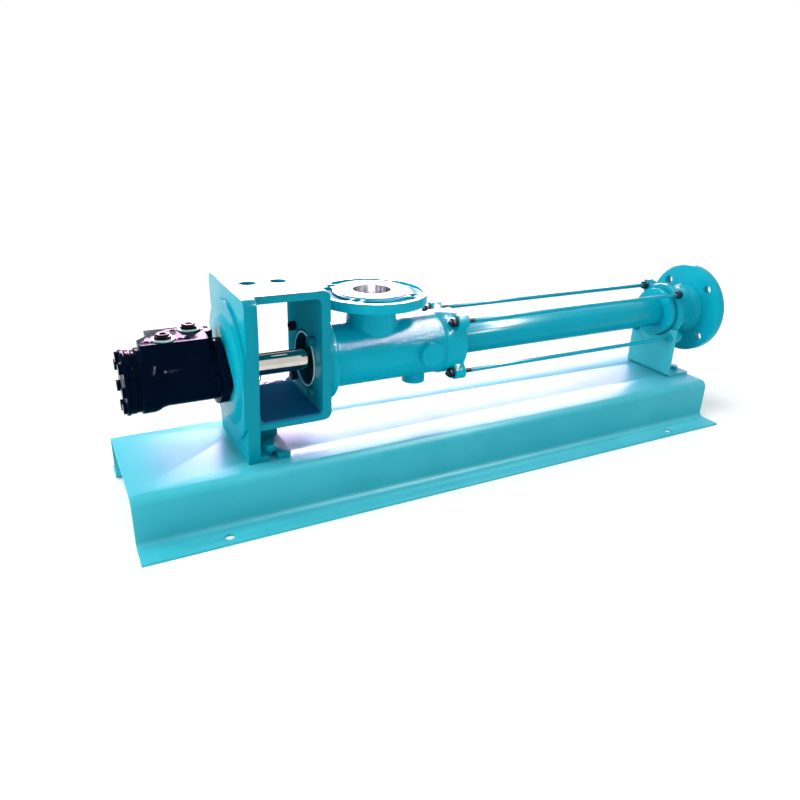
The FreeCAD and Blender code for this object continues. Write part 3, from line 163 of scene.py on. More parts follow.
class Nodes:
    """Small builder for one material's node tree."""

    def __init__(self, name: str) -> None:
        """Start an empty material.

        Args:
            name: the material's name.
        """
        self.material = bpy.data.materials.new(name)
        self.material.use_nodes = True
        self.tree = self.material.node_tree
        self.tree.nodes.clear()
        self.output = self.tree.nodes.new("ShaderNodeOutputMaterial")
        self.shader = self.tree.nodes.new("ShaderNodeBsdfPrincipled")
        self.link(self.shader.outputs["BSDF"], self.output.inputs["Surface"])
        self.place = self.tree.nodes.new("ShaderNodeTexCoord").outputs["Object"]

    def link(self, source: bpy.types.NodeSocket, target: bpy.types.NodeSocket) -> None:
        """Join two sockets."""
        self.tree.links.new(source, target)

    def set(self, **values: float | Colour | tuple[float, float, float, float]) -> None:
        """Set the shader's own sockets.

        Args:
            values: socket names, with underscores for spaces, and their values.
        """
        for key, value in values.items():
            socket = self.shader.inputs[key.replace("_", " ")]
            if isinstance(value, tuple) and len(value) == 3 and len(socket.default_value) == 4:
                value = (*value, 1.0)
            socket.default_value = value

    def noise(self, scale: float, detail: float = 3.0, rough: float = 0.55,
              where: bpy.types.NodeSocket | None = None) -> bpy.types.NodeSocket:
        """Noise over the object's own coordinates.

        Args:
            scale: waves in one metre.
            detail: octaves.
            rough: weight of the small octaves.
            where: coordinates other than the object's own.

        Returns:
            The factor socket.
        """
        node = self.tree.nodes.new("ShaderNodeTexNoise")
        node.inputs["Scale"].default_value = scale
        node.inputs["Detail"].default_value = detail
        node.inputs["Roughness"].default_value = rough
        self.link(where or self.place, node.inputs["Vector"])
        return node.outputs["Fac"]

    def spread(self, factor: bpy.types.NodeSocket, low: float, high: float,
               out_low: float, out_high: float) -> bpy.types.NodeSocket:
        """Stretch a factor from one span to another, held at both ends."""
        node = self.tree.nodes.new("ShaderNodeMapRange")
        node.clamp = True
        self.link(factor, node.inputs["Value"])
        for key, value in (("From Min", low), ("From Max", high), ("To Min", out_low), ("To Max", out_high)):
            node.inputs[key].default_value = value
        return node.outputs["Result"]

    def colours(self, factor: bpy.types.NodeSocket, first: Colour, second: Colour) -> bpy.types.NodeSocket:
        """Blend two colours by a factor."""
        node = self.tree.nodes.new("ShaderNodeMix")
        node.data_type = "RGBA"
        self.link(factor, node.inputs["Factor"])
        node.inputs[6].default_value = (*first, 1.0)
        node.inputs[7].default_value = (*second, 1.0)
        return node.outputs[2]

    def mix_over(self, factor: bpy.types.NodeSocket, under: bpy.types.NodeSocket,
                 over: bpy.types.NodeSocket | Colour) -> bpy.types.NodeSocket:
        """Lay a colour, or a colour socket, over a colour socket by a factor."""
        node = self.tree.nodes.new("ShaderNodeMix")
        node.data_type = "RGBA"
        self.link(factor, node.inputs["Factor"])
        self.link(under, node.inputs[6])
        if isinstance(over, tuple):
            node.inputs[7].default_value = (*over, 1.0)
        else:
            self.link(over, node.inputs[7])
        return node.outputs[2]

    def bump(self, height: bpy.types.NodeSocket, depth: float, under: bpy.types.NodeSocket | None = None,
             strength: bpy.types.NodeSocket | None = None) -> bpy.types.NodeSocket:
        """Bump from a height factor.

        Args:
            height: height factor, 0 to 1.
            depth: height of a full step, in metres.
            under: normal from an earlier bump.
            strength: factor that says where the bump shows.

        Returns:
            The normal socket.
        """
        node = self.tree.nodes.new("ShaderNodeBump")
        node.inputs["Distance"].default_value = depth
        self.link(height, node.inputs["Height"])
        if strength is not None:
            self.link(strength, node.inputs["Strength"])
        if under is not None:
            self.link(under, node.inputs["Normal"])
        return node.outputs["Normal"]

    def rings(self, pitch: float) -> bpy.types.NodeSocket:
        """Fine turning marks as rings round the pump axis.

        Args:
            pitch: distance between rings, in metres.

        Returns:
            The height factor.
        """
        mapping = self.tree.nodes.new("ShaderNodeMapping")
        mapping.vector_type = "POINT"
        mapping.inputs["Location"].default_value = (0.0, 0.0, -AXIS_HEIGHT)
        self.link(self.place, mapping.inputs["Vector"])
        wave = self.tree.nodes.new("ShaderNodeTexWave")
        wave.wave_type = "RINGS"
        wave.rings_direction = "X"
        wave.inputs["Scale"].default_value = 1.0 / (pitch * 20.0)
        wave.inputs["Distortion"].default_value = 0.4
        wave.inputs["Detail"].default_value = 1.0
        self.link(mapping.outputs["Vector"], wave.inputs["Vector"])
        return wave.outputs["Fac"]

    def times(self, first: bpy.types.NodeSocket, second: bpy.types.NodeSocket) -> bpy.types.NodeSocket:
        """Multiply two factors."""
        node = self.tree.nodes.new("ShaderNodeMath")
        node.operation = "MULTIPLY"
        self.link(first, node.inputs[0])
        self.link(second, node.inputs[1])
        return node.outputs[0]

    def parts(self, vector: bpy.types.NodeSocket) -> tuple[bpy.types.NodeSocket, ...]:
        """Split a vector into its three numbers."""
        node = self.tree.nodes.new("ShaderNodeSeparateXYZ")
        self.link(vector, node.inputs[0])
        return tuple(node.outputs)

    def vector_math(self, kind: str, vector: bpy.types.NodeSocket,
                    other: Colour = (0.0, 0.0, 0.0)) -> bpy.types.Node:
        """Apply one vector operation with a fixed second vector."""
        node = self.tree.nodes.new("ShaderNodeVectorMath")
        node.operation = kind
        self.link(vector, node.inputs[0])
        node.inputs[1].default_value = other
        return node

    def offset(self, centre: Colour) -> bpy.types.NodeSocket:
        """Place measured from a centre."""
        return self.vector_math("SUBTRACT", self.place, centre).outputs[0]

    def scaled(self, vector: bpy.types.NodeSocket, factors: Colour) -> bpy.types.NodeSocket:
        """Vector stretched on each axis."""
        return self.vector_math("MULTIPLY", vector, factors).outputs[0]

    def length(self, vector: bpy.types.NodeSocket) -> bpy.types.NodeSocket:
        """Length of a vector."""
        return self.vector_math("LENGTH", vector).outputs["Value"]

    def size(self, number: bpy.types.NodeSocket) -> bpy.types.NodeSocket:
        """Number without its sign."""
        node = self.tree.nodes.new("ShaderNodeMath")
        node.operation = "ABSOLUTE"
        self.link(number, node.inputs[0])
        return node.outputs[0]

    def rest_of(self, factor: bpy.types.NodeSocket) -> bpy.types.NodeSocket:
        """One less the factor."""
        return self.spread(factor, 0.0, 1.0, 1.0, 0.0)

    def blend(self, factor: bpy.types.NodeSocket, under: bpy.types.NodeSocket,
              over: float) -> bpy.types.NodeSocket:
        """Lay one number over a number socket by a factor."""
        node = self.tree.nodes.new("ShaderNodeMix")
        node.data_type = "FLOAT"
        self.link(factor, node.inputs["Factor"])
        self.link(under, node.inputs[2])
        node.inputs[3].default_value = over
        return node.outputs[0]


# Finishes


@dataclass(frozen=True)
class Paint:
    """Glossy enamel over sheet or castings, with zones that are bare, rough or dark, and zones of painted
    shade and painted highlight.
    """

    name: str
    colour: Colour
    shade: Colour
    grain: Grain
    roughness: float = 0.2
    gloss: float = 0.07
    zones: tuple[Zone, ...] = ()

    def build(self) -> bpy.types.Material:
        """Make the material: colour drift, the grain of the metal beneath, then the zones."""
        nodes = Nodes(self.name)
        drift = nodes.spread(nodes.noise(DRIFT_SCALE, 4.0), 0.35, 0.65, 0.0, 1.0)
        base = nodes.colours(drift, self.colour, self.shade)
        gloss = nodes.spread(nodes.noise(GLOSS_SCALE, 3.0), 0.3, 0.7, self.roughness * 0.96,
                             self.roughness * 1.06)
        shown, bare, reliefs = None, None, []
        for zone in self.zones:
            inside = zone.mask(nodes)
            base = nodes.mix_over(inside, base, self.zone_colour(nodes, zone))
            gloss = nodes.blend(inside, gloss, zone.roughness)
            if zone.smooth:
                outside = nodes.rest_of(inside)
                shown = outside if shown is None else nodes.times(shown, outside)
            if zone.relief:
                reliefs.append((nodes.times(nodes.noise(RELIEF_SCALE, 4.0, 0.6), inside), zone.relief))
            if zone.metallic:
                bare = inside if bare is None else nodes.blend(inside, bare, zone.metallic)
        if bare is not None:
            nodes.link(bare, nodes.shader.inputs["Metallic"])
        depth, coarse, fine = GRAINS[self.grain]
        normal = nodes.bump(nodes.noise(coarse, 2.0, 0.5), depth, strength=shown)
        normal = nodes.bump(nodes.noise(fine, 2.0, 0.5), depth * FINE_GRAIN_SHARE, under=normal,
                            strength=shown)
        for height, relief in reliefs:
            normal = nodes.bump(height, relief, under=normal)
        nodes.link(base, nodes.shader.inputs["Base Color"])
        nodes.link(gloss, nodes.shader.inputs["Roughness"])
        nodes.link(normal, nodes.shader.inputs["Normal"])
        nodes.set(Specular_IOR_Level=self.gloss)
        return nodes.material

    def zone_colour(self, nodes: Nodes, zone: Zone) -> bpy.types.NodeSocket | Colour:
        """Colour of a zone, streaked along its axis where it has a second colour."""
        if zone.streak is None:
            return zone.colour
        along = tuple(STREAK_STRETCH if index == zone.axis.value else 1.0 for index in range(3))
        streaks = nodes.noise(STREAK_SCALE, 3.0, 0.6, nodes.scaled(nodes.place, along))
        return nodes.colours(nodes.spread(streaks, 0.42, 0.6, 0.0, 1.0), zone.colour, zone.streak)


@dataclass(frozen=True)
class Machined:
    """Bare machined metal with tool marks."""

    name: str
    colour: Colour
    stain: Colour
    turning: Turning
    roughness: float = 0.2
    pitch: float = 0.002
    metallic: float = 1.0

    def build(self) -> bpy.types.Material:
        """Make the material: rings of the tool, faint stains and varied gloss."""
        nodes = Nodes(self.name)
        stains = nodes.spread(nodes.noise(11.0, 3.0, 0.5), 0.45, 0.8, 0.0, 1.0)
        nodes.link(nodes.colours(stains, self.colour, self.stain), nodes.shader.inputs["Base Color"])
        nodes.link(nodes.spread(nodes.noise(120.0, 3.0), 0.3, 0.7, self.roughness * 0.7,
                                self.roughness * 1.4), nodes.shader.inputs["Roughness"])
        nodes.set(Metallic=self.metallic)
        marks = nodes.noise(620.0, 2.0) if self.turning is Turning.PLAIN else nodes.rings(self.pitch)
        nodes.link(nodes.bump(marks, TOOL_MARK_DEPTH), nodes.shader.inputs["Normal"])
        return nodes.material


@dataclass(frozen=True)
class Rubber:
    """Moulded rubber, carbon or plastic without a metal shine."""

    name: str
    colour: Colour
    worn: Colour
    roughness: float = 0.6
    depth: float = 0.0001
    scale: float = 500.0

    def build(self) -> bpy.types.Material:
        """Make the material: fine skin, dusty patches and varied gloss."""
        nodes = Nodes(self.name)
        dust = nodes.spread(nodes.noise(18.0, 4.0), 0.45, 0.75, 0.0, 1.0)
        nodes.link(nodes.colours(dust, self.colour, self.worn), nodes.shader.inputs["Base Color"])
        nodes.link(nodes.spread(nodes.noise(70.0), 0.3, 0.7, self.roughness * 0.8, self.roughness * 1.2),
                   nodes.shader.inputs["Roughness"])
        nodes.link(nodes.bump(nodes.noise(self.scale, 2.0), self.depth), nodes.shader.inputs["Normal"])
        return nodes.material



# Depth in metres, then coarse and fine waves in one metre, of the metal under the paint
GRAINS = {Grain.SHEET: (0.000015, 42.0, 700.0), Grain.CAST: (0.00042, 360.0, 900.0),
          Grain.FINE_CAST: (0.0003, 130.0, 640.0)}

SHEET_TEAL: Colour = (0.055, 0.47, 0.56)
SHEET_SHADE: Colour = (0.04, 0.43, 0.52)
CAST_TEAL: Colour = (0.001, 0.37, 0.49)
CAST_SHADE: Colour = (0.001, 0.335, 0.45)
BLACK: Colour = (0.0, 0.003, 0.011)
BLACK_SHADE: Colour = (0.0, 0.005, 0.016)
NIGHT: Colour = (0.002, 0.012, 0.026)
NIGHT_SHADE: Colour = (0.002, 0.03, 0.055)
STEEL: Colour = (0.6, 0.62, 0.63)
STEEL_SHADE: Colour = (0.17, 0.2, 0.21)

# Zones that are bare, rough or dark, and zones of painted shade and painted highlight
SUCTION_AXIS: Colour = (-0.159, 0.0, 0.3)
# Painted highlight: pale teal on the front rim of the seal cover
SEAL_RIM_HIGHLIGHT = RingZone(axis=Axis.X, low=-0.2812, high=-0.2788, inner=0.0436, outer=0.046,
                    colour=(0.62, 0.82, 0.83), roughness=0.2)
# Painted shade: near black inside the seal cover's bore
SEAL_BORE_SHADE = RingZone(axis=Axis.X, low=-0.2788, high=-0.2555, outer=0.0449, colour=(0.0, 0.04, 0.07),
                     roughness=0.4)
# Painted shade: dark blue on the lantern's low web, which lies in the shade of the top web
LOW_WEB_SHADE = BoxZone(centre=(-0.331, 0.002, 0.151), half=(0.05, 0.09, 0.004), colour=(0.0, 0.055, 0.17),
                  roughness=0.05, blur=0.004)
# Painted shade on the floors of the suction flange's pockets, over a rough cast relief
POCKET_FLOOR_SHADE = RingZone(axis=Axis.Z, low=0.3055, high=0.3146, centre=SUCTION_AXIS, inner=0.054, outer=0.08,
                         colour=(0.0, 0.06, 0.09), metallic=1.0, roughness=0.9, relief=0.0004)
SUCTION_BORE = RingZone(axis=Axis.Z, low=0.24, high=0.3186, centre=SUCTION_AXIS, outer=0.0332,
                        colour=STEEL, streak=STEEL_SHADE, metallic=1.0, roughness=0.25, smooth=True)
DISCHARGE_BORE = RingZone(axis=Axis.X, low=0.50, high=0.6171, outer=0.0332, colour=STEEL,
                          streak=STEEL_SHADE, metallic=1.0, roughness=0.25, smooth=True)
NEAR_THREADS = RingZone(axis=Axis.X, low=-0.05, high=0.018, colour=NIGHT_SHADE, roughness=0.5,
                        relief=0.0004)
FAR_THREADS = RingZone(axis=Axis.X, low=0.502, high=0.57, colour=(0.01, 0.2, 0.26), roughness=0.5,
                       relief=0.0004)
# Painted shade: the housing screws at the back, inside the lantern, are near black while the front ones stay
# teal
BACK_SCREW_SHADE = BoxZone(centre=(-0.26, 0.1, AXIS_HEIGHT), half=(0.1, 0.1, 0.1), colour=NIGHT, roughness=0.3)

FINISHES: dict[str, Paint | Machined | Rubber] = {
    "base_teal": Paint("base_teal", SHEET_TEAL, SHEET_SHADE, Grain.SHEET, 0.42),
    "tube_teal": Paint("tube_teal", CAST_TEAL, CAST_SHADE, Grain.SHEET, 0.2),
    "smooth_teal": Paint("smooth_teal", CAST_TEAL, CAST_SHADE, Grain.FINE_CAST, 0.18),
    "lantern_teal": Paint("lantern_teal", (0.001, 0.29, 0.385), (0.001, 0.26, 0.35), Grain.FINE_CAST, 0.18,
                          zones=(LOW_WEB_SHADE,)),
    "housing_teal": Paint("housing_teal", (0.001, 0.42, 0.555), (0.001, 0.38, 0.51), Grain.CAST, 0.1,
                          zones=(POCKET_FLOOR_SHADE, SUCTION_BORE)),
    "branch_teal": Paint("branch_teal", (0.003, 0.35, 0.46), (0.002, 0.31, 0.42), Grain.FINE_CAST, 0.17,
                         zones=(DISCHARGE_BORE,)),
    "seal_teal": Paint("seal_teal", CAST_TEAL, CAST_SHADE, Grain.FINE_CAST, 0.2, zones=(SEAL_BORE_SHADE, SEAL_RIM_HIGHLIGHT)),
    "rod_teal": Paint("rod_teal", CAST_TEAL, CAST_SHADE, Grain.SHEET, 0.2, zones=(NEAR_THREADS, FAR_THREADS)),
    "motor_black": Paint("motor_black", BLACK, BLACK_SHADE, Grain.FINE_CAST, 0.1, 0.009),
    "plug_black": Paint("plug_black", (0.001, 0.001, 0.002), (0.003, 0.003, 0.004), Grain.SHEET, 0.25, 0.06),
    "bolt_teal": Paint("bolt_teal", (0.003, 0.17, 0.23), (0.002, 0.13, 0.19), Grain.SHEET, 0.25,
                       zones=(BACK_SCREW_SHADE,)),
    # Near black: the dark nuts at the suction seats, and painted shade on the nuts at the upper inner seats
    "dark_nut_and_painted_shade": Paint("dark_nut_and_painted_shade", NIGHT, NIGHT_SHADE, Grain.SHEET, 0.3),
    "seal_ring_grey": Machined("seal_ring_grey", (0.2, 0.31, 0.32), (0.15, 0.24, 0.25), Turning.PLAIN,
                               roughness=0.5, metallic=0.3),
    "bright_shaft": Machined("bright_shaft", (0.66, 0.63, 0.59), (0.5, 0.47, 0.43), Turning.ROUND_X,
                             roughness=0.05),
    "zinc": Machined("zinc", (0.5, 0.5, 0.5), (0.35, 0.34, 0.31), Turning.PLAIN, roughness=0.38),
    "hard_chrome": Machined("hard_chrome", (0.8, 0.81, 0.83), (0.7, 0.7, 0.72), Turning.PLAIN, roughness=0.1),
    "nitrile": Rubber("nitrile", (0.012, 0.012, 0.012), (0.03, 0.03, 0.029)),
    "gasket": Rubber("gasket", (0.02, 0.02, 0.021), (0.045, 0.042, 0.04), 0.7),
    "carbon": Rubber("carbon", (0.03, 0.03, 0.032), (0.05, 0.05, 0.052), 0.35),
    "ceramic": Rubber("ceramic", (0.8, 0.79, 0.75), (0.7, 0.68, 0.63), 0.25),
}


class Palette:
    """Materials, each made once from its finish."""

    def __init__(self) -> None:
        """Start with no materials made."""
        self.made: dict[str, bpy.types.Material] = {}

    def __getitem__(self, name: str) -> bpy.types.Material:
        """Give the material of a finish, making it the first time."""
        if name not in self.made:
            self.made[name] = FINISHES[name].build()
        return self.made[name]


# Refined pieces


@dataclass
class Skin:
    """One CAD node shown with merged faces, rounded edges and smooth shading."""

    node: str
    finish: str
    edge: float = 0.0005
    segments: int = 2
    sharp: float = SHARP_ANGLE

    def build(self, frame: dict, palette: Palette) -> bpy.types.Object:
        """Make the skin in place of its CAD node.

        Args:
            palette: the materials.

        Returns:
            The new object.
        """
        source = frame["nodes"][self.node]
        mesh = bpy.data.meshes.new(f"{self.node}_skin")
        work = bmesh.new()
        work.from_mesh(source.data)
        bmesh.ops.remove_doubles(work, verts=work.verts[:], dist=MERGE_DISTANCE)
        bmesh.ops.dissolve_limit(work, angle_limit=FLAT_ANGLE, use_dissolve_boundaries=False,
                                 verts=work.verts[:], edges=work.edges[:], delimit=set())
        self.round_edges(work)
        for face in work.faces:
            face.smooth = True
        work.to_mesh(mesh)
        work.free()
        mesh.materials.append(palette[self.finish])
        piece = bpy.data.objects.new(f"{self.node}_skin", mesh)
        bpy.context.scene.collection.objects.link(piece)
        mesh.set_sharp_from_angle(angle=self.sharp)
        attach(piece, source["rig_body"])
        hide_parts(self.node)
        LOG.info("%s: %d faces", piece.name, len(mesh.polygons))
        return piece

    def round_edges(self, work: bmesh.types.BMesh) -> None:
        """Bevel the edges that stand sharper than the limit angle.

        Args:
            work: the merged mesh.
        """
        picked = [edge for edge in work.edges
                  if len(edge.link_faces) == 2 and edge.calc_face_angle(0.0) > self.sharp]
        bmesh.ops.bevel(work, geom=picked, offset=self.edge, offset_type="OFFSET", affect="EDGES",
                        segments=self.segments, profile=0.5, material=-1, clamp_overlap=True)


@dataclass
class Assembly:
    """Sub-assembly whose pieces get skins, and whose hidden pieces are only dressed."""

    title: str = ""

    def skins(self) -> list[Skin]:
        """Skins of the pieces that show."""
        return []

    def dressed(self) -> dict[str, str]:
        """Finishes of the pieces that keep their CAD mesh."""
        return {}

    def build(self, frame: dict, palette: Palette) -> None:
        """Make and dress every piece of the sub-assembly.

        Args:
            palette: the materials.
        """
        for skin in self.skins():
            skin.build(frame, palette)
        for node, finish in self.dressed().items():
            dress(frame["nodes"][node], palette[finish])
        LOG.info("%s: %d skins, %d dressed", self.title, len(self.skins()), len(self.dressed()))


def dress(piece: bpy.types.Object, material: bpy.types.Material) -> None:
    """Give a CAD node one material and smooth shading."""
    piece.data.materials.clear()
    piece.data.materials.append(material)
    piece.data.shade_smooth()
    piece.data.set_sharp_from_angle(angle=SHARP_ANGLE)


@dataclass
class BaseFrame(Assembly):
    """Folded sheet base."""

    title: str = "base"
    sheet_edge: float = 0.0005

    def skins(self) -> list[Skin]:
        """Base with deburred sheet edges."""
        return [Skin("base_frame", "base_teal", self.sheet_edge)]


@dataclass
class Lantern(Assembly):
    """Cast bracket and the bolts that hold it down."""

    title: str = "lantern"
    cast_edge: float = 0.0013
    head_edge: float = 0.0007

    def skins(self) -> list[Skin]:
        """Bracket with soft cast edges, and its painted fasteners."""
        return [Skin("lantern_bracket", "lantern_teal", self.cast_edge, 3),
                Skin("bracket_washers", "smooth_teal", self.head_edge / 2),
                Skin("bracket_bolts", "smooth_teal", self.head_edge),
                Skin("bracket_nuts", "zinc", self.head_edge)]


@dataclass
class Motor(Assembly):
    """Hydraulic motor with its plates, plugs and bolts."""

    title: str = "motor"
    cast_edge: float = 0.001
    plate_edge: float = 0.0005
    head_edge: float = 0.0006

    def skins(self) -> list[Skin]:
        """Painted motor castings, plate stack and fasteners."""
        plates = [Skin(node, "motor_black", self.plate_edge)
                  for node in ("motor_spacer_plate", "motor_gear_ring", "motor_end_cover")]
        return [Skin("motor_body", "motor_black", self.cast_edge, 3), *plates,
                Skin("motor_cover_bolts", "motor_black", self.head_edge),
                Skin("motor_bolts", "motor_black", self.head_edge),
                Skin("motor_nuts", "zinc", self.head_edge),
                Skin("port_plugs", "plug_black", self.plate_edge),
                Skin("port_seal_rings", "seal_ring_grey", self.plate_edge)]


@dataclass
class ShaftLine(Assembly):
    """Shaft, seal, coupling rod and their joints."""

    title: str = "shaft and seal"
    turned_edge: float = 0.0004

    def skins(self) -> list[Skin]:
        """Turned pieces that show through the lantern's window."""
        return [Skin("drive_shaft", "bright_shaft", self.turned_edge),
                Skin("seal_cover", "seal_teal", self.turned_edge),
                Skin("coupling_rod", "bright_shaft", self.turned_edge),
                Skin("seal_drive_collar", "bright_shaft", self.turned_edge)]

    def dressed(self) -> dict[str, str]:
        """Pieces inside the pump."""
        return {"motor_shaft": "bright_shaft", "shaft_key": "bright_shaft",
                "shaft_joint_pin": "bright_shaft", "rotor_joint_pin": "bright_shaft",
                "seal_seat_ring": "ceramic", "seal_turning_ring": "carbon", "seal_bellows": "nitrile",
                "shaft_joint_sleeve": "nitrile", "rotor_joint_sleeve": "nitrile"}


@dataclass
class SuctionSide(Assembly):
    """Cast suction housing and its screws."""

    title: str = "suction side"
    cast_edge: float = 0.0012
    head_edge: float = 0.0006

    def skins(self) -> list[Skin]:
        """Housing with soft cast edges, and its dim teal cap screws, with painted shade on the ones at the
        back.
        """
        return [Skin("suction_housing", "housing_teal", self.cast_edge, 3),
                Skin("housing_bolts", "bolt_teal", self.head_edge)]

    def dressed(self) -> dict[str, str]:
        """Gasket inside the housing's seat."""
        return {"suction_gasket": "gasket"}


@dataclass
class Stator(Assembly):
    """Stator tube with its collar and lining, and the rotor in it."""

    title: str = "stator"
    collar_edge: float = 0.0009

    def skins(self) -> list[Skin]:
        """Tube and collar with broken edges."""
        return [Skin("stator_tube", "tube_teal", self.collar_edge / 2),
                Skin("stator_collar", "smooth_teal", self.collar_edge),
                Skin("discharge_gasket", "gasket", self.collar_edge / 3)]

    def dressed(self) -> dict[str, str]:
        """Moulded lining and the polished rotor."""
        return {"stator_lining": "nitrile", "rotor": "hard_chrome"}


@dataclass
class DischargeSide(Assembly):
    """Cast discharge branch."""

    title: str = "discharge side"
    cast_edge: float = 0.0011

    def skins(self) -> list[Skin]:
        """Branch with soft cast edges."""
        return [Skin("discharge_branch", "branch_teal", self.cast_edge, 3)]


@dataclass
class TieRods(Assembly):
    """Four tie rods with their nuts and washers."""

    title: str = "tie rods"
    head_edge: float = 0.0006

    def skins(self) -> list[Skin]:
        """Rods with dark threads, dark nuts at the suction seats, nuts with painted shade at the upper inner
        seats, and painted ones elsewhere.
        """
        finishes = {"suction": "dark_nut_and_painted_shade", "upper_inner": "dark_nut_and_painted_shade",
                    "lower_inner": "smooth_teal", "outer": "smooth_teal"}
        nuts = [Skin(f"{side}_rod_{kind}", finish, self.head_edge)
                for side, finish in finishes.items() for kind in ("washers", "nuts")]
        return [Skin("tie_rods", "rod_teal", self.head_edge), *nuts]


@dataclass
class Support(Assembly):
    """Bent foot under the discharge end."""

    title: str = "support"
    sheet_edge: float = 0.0005
    head_edge: float = 0.0006

    def skins(self) -> list[Skin]:
        """Foot and its fasteners."""
        return [Skin("support_foot", "base_teal", self.sheet_edge),
                Skin("support_washers", "smooth_teal", self.head_edge / 2),
                Skin("support_bolts", "smooth_teal", self.head_edge),
                Skin("support_nuts", "zinc", self.head_edge)]


# Floor, light and camera


@dataclass(frozen=True)
class Softbox:
    """Flat lamp that the camera doesn't see."""

    name: str
    place: Colour
    target: Colour
    sides: tuple[float, float]
    glow: float
    in_gloss: bool = True
    in_diffuse: bool = False

    def build(self) -> None:
        """Hang the lamp, facing its target."""
        data = bpy.data.lights.new(self.name, "AREA")
        data.shape = "RECTANGLE"
        data.size, data.size_y = self.sides
        data.energy = WATTS_FOR_GLOW * self.sides[0] * self.sides[1] * self.glow
        lamp = bpy.data.objects.new(self.name, data)
        lamp.location = self.place
        away = Vector(self.place) - Vector(self.target)
        lamp.rotation_euler = away.to_track_quat("Z", "Y").to_euler()
        lamp.visible_camera = False
        lamp.visible_glossy = self.in_gloss
        lamp.visible_diffuse = self.in_diffuse
        bpy.context.scene.collection.objects.link(lamp)


@dataclass(frozen=True)
class Screen:
    """Upright sheet across Y that only reflections see: a glowing wall or a dark flag."""

    name: str
    low: Vector
    high: Vector
    colour: Colour
    glow_left: float = 0.0
    glow_right: float = 0.0

    def build(self) -> None:
        """Stand the sheet between its corners, glowing more at one end than at the other."""
        work = bmesh.new()
        size = self.high - self.low
        bmesh.ops.create_grid(work, x_segments=1, y_segments=1, size=0.5)
        bmesh.ops.transform(work, verts=work.verts[:],
                            matrix=Matrix.Translation((self.low + self.high) / 2)
                            @ Matrix.Diagonal((size.x, 1.0, size.z, 1.0))
                            @ Matrix.Rotation(math.radians(90.0), 4, "X"))
        mesh = bpy.data.meshes.new(self.name)
        work.to_mesh(mesh)
        work.free()
        screen = bpy.data.objects.new(self.name, mesh)
        bpy.context.scene.collection.objects.link(screen)
        screen.visible_camera = screen.visible_diffuse = screen.visible_shadow = False
        nodes = Nodes(f"{self.name}_cloth")
        nodes.set(Base_Color=(0.0, 0.0, 0.0), Specular_IOR_Level=0.0, Emission_Color=self.colour)
        glow = nodes.spread(nodes.parts(nodes.place)[0], self.low.x, self.high.x,
                            self.glow_left, self.glow_right)
        nodes.link(glow, nodes.shader.inputs["Emission Strength"])
        mesh.materials.append(nodes.material)


LAVENDER: Colour = (1.0, 0.63, 0.88)
STAGE_LIGHT: tuple[Softbox | Screen, ...] = (
    Screen("back_wall", Vector((-0.45, 3.0, 0.1)), Vector((4.4, 3.0, 2.6)), LAVENDER, 88.0, 4.0),
    Screen("motor_wall", Vector((-0.5, 2.95, 0.1)), Vector((0.2, 2.95, 1.42)), (0.8, 0.85, 1.0), 2.5, 2.5),
    # window_flag: a dark sheet behind the lantern's window, seen only in reflections, that puts painted shade
    # into the reflections on the low web and the shaft
    Screen("window_flag", Vector((-0.4, 0.112, 0.153)), Vector((-0.262, 0.112, 0.336)), (0.0, 0.3, 0.6),
           0.03, 0.03),
    Softbox("ceiling_strip", (1.08, -1.1, 2.3), (1.08, -1.1, 0.0), (0.2, 3.6), 340.0),
    Softbox("left_box", (-4.4, 0.3, 1.3), (0.0, 0.0, 0.2), (2.4, 2.4), 6.5, in_gloss=False,
            in_diffuse=True),
)


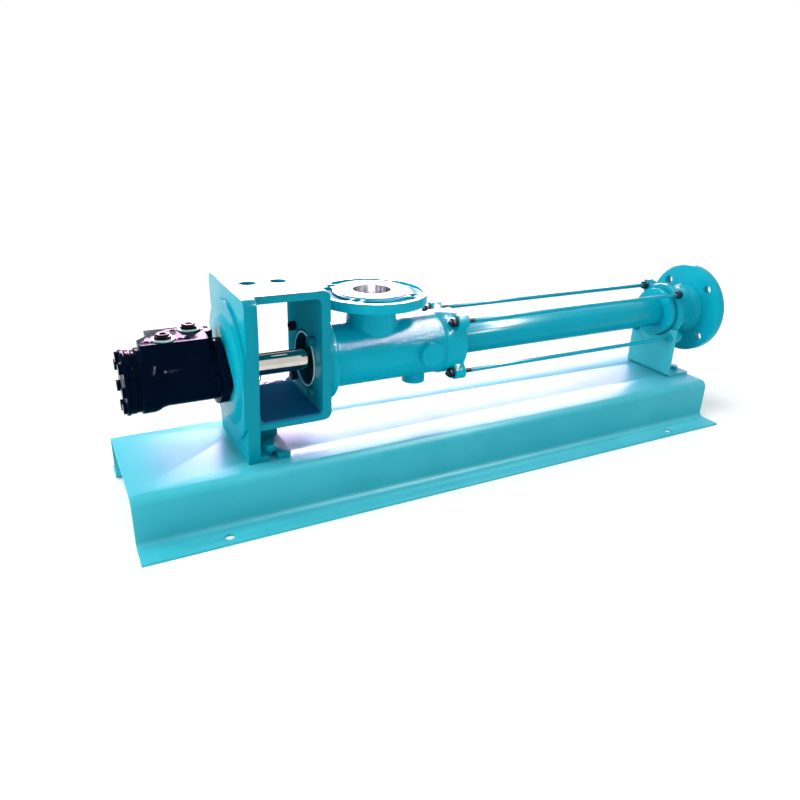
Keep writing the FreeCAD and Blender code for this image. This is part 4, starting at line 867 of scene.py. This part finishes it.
@dataclass
class Studio:
    """White floor, soft light and the camera of the photograph."""

    eye: tuple[float, float, float] = (-0.6447, -1.0144, 0.5965)
    forward: tuple[float, float, float] = (0.441, 0.808, -0.391)
    right: tuple[float, float, float] = (0.884, -0.467, 0.034)
    lens: float = 31.04
    shift: tuple[float, float] = (-0.00465, 0.0015)
    floor_half: float = 12.0
    sky: Colour = (0.93, 0.97, 1.0)
    sky_strength: float = 0.74
    sun_from: Colour = (-0.25, 0.1, 1.0)
    sun_strength: float = 1.2
    sun_width: float = math.radians(25.0)

    def build(self) -> None:
        """Set up everything round the object."""
        self.camera()
        self.floor()
        self.world()
        self.sun()
        for light in STAGE_LIGHT:
            light.build()

    def camera(self) -> None:
        """Place the camera with its small roll."""
        data = bpy.data.cameras.new("camera")
        data.lens = self.lens
        data.sensor_width = 36.0
        data.shift_x, data.shift_y = self.shift
        data.clip_end = 60.0
        back = -Vector(self.forward).normalized()
        side = Vector(self.right)
        side = (side - back * side.dot(back)).normalized()
        upward = back.cross(side)
        turn = Matrix((side, upward, back)).transposed()
        camera = bpy.data.objects.new("camera", data)
        camera.matrix_world = Matrix.Translation(self.eye) @ turn.to_4x4()
        bpy.context.scene.collection.objects.link(camera)
        bpy.context.scene.camera = camera

    def floor(self) -> None:
        """Lay a pale floor that keeps the shadow."""
        work = bmesh.new()
        bmesh.ops.create_grid(work, x_segments=2, y_segments=2, size=self.floor_half)
        mesh = bpy.data.meshes.new("floor")
        work.to_mesh(mesh)
        work.free()
        floor = bpy.data.objects.new("floor", mesh)
        bpy.context.scene.collection.objects.link(floor)
        nodes = Nodes("floor_white")
        nodes.set(Base_Color=(0.97, 0.97, 0.97), Roughness=0.9, Specular_IOR_Level=0.0)
        mesh.materials.append(nodes.material)

    def world(self) -> None:
        """White surroundings for camera, gloss and glass, and a plain sky light."""
        world = bpy.data.worlds.new("surroundings")
        bpy.context.scene.world = world
        world.use_nodes = True
        tree = world.node_tree
        tree.nodes.clear()
        out = tree.nodes.new("ShaderNodeOutputWorld")
        seen = tree.nodes.new("ShaderNodeBackground")
        seen.inputs["Color"].default_value = (1.0, 1.0, 1.0, 1.0)
        seen.inputs["Strength"].default_value = 1.0
        light = tree.nodes.new("ShaderNodeBackground")
        light.inputs["Color"].default_value = (*self.sky, 1.0)
        light.inputs["Strength"].default_value = self.sky_strength
        path = tree.nodes.new("ShaderNodeLightPath")
        shown = path.outputs["Is Camera Ray"]
        for kind in ("Is Glossy Ray", "Is Transmission Ray"):
            either = tree.nodes.new("ShaderNodeMath")
            either.operation = "MAXIMUM"
            tree.links.new(shown, either.inputs[0])
            tree.links.new(path.outputs[kind], either.inputs[1])
            shown = either.outputs[0]
        mix = tree.nodes.new("ShaderNodeMixShader")
        tree.links.new(shown, mix.inputs[0])
        tree.links.new(light.outputs[0], mix.inputs[1])
        tree.links.new(seen.outputs[0], mix.inputs[2])
        tree.links.new(mix.outputs[0], out.inputs["Surface"])

    def sun(self) -> None:
        """Hang one soft sun."""
        sun = bpy.data.lights.new("sun", "SUN")
        sun.energy = self.sun_strength
        sun.angle = self.sun_width
        sun.color = (1.0, 0.985, 0.96)
        lamp = bpy.data.objects.new("sun", sun)
        lamp.rotation_euler = Vector(self.sun_from).to_track_quat("Z", "Y").to_euler()
        bpy.context.scene.collection.objects.link(lamp)


def main() -> None:
    """Build the whole scene."""
    logging.basicConfig(level=logging.INFO, format="%(message)s")
    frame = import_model()
    palette = Palette()
    for assembly in (BaseFrame(), Lantern(), Motor(), ShaftLine(), SuctionSide(), Stator(),
                     DischargeSide(), TieRods(), Support()):
        assembly.build(frame, palette)
    Studio().build()
    bpy.context.scene.view_settings.view_transform = "Standard"


if __name__ == "__main__":
    main()
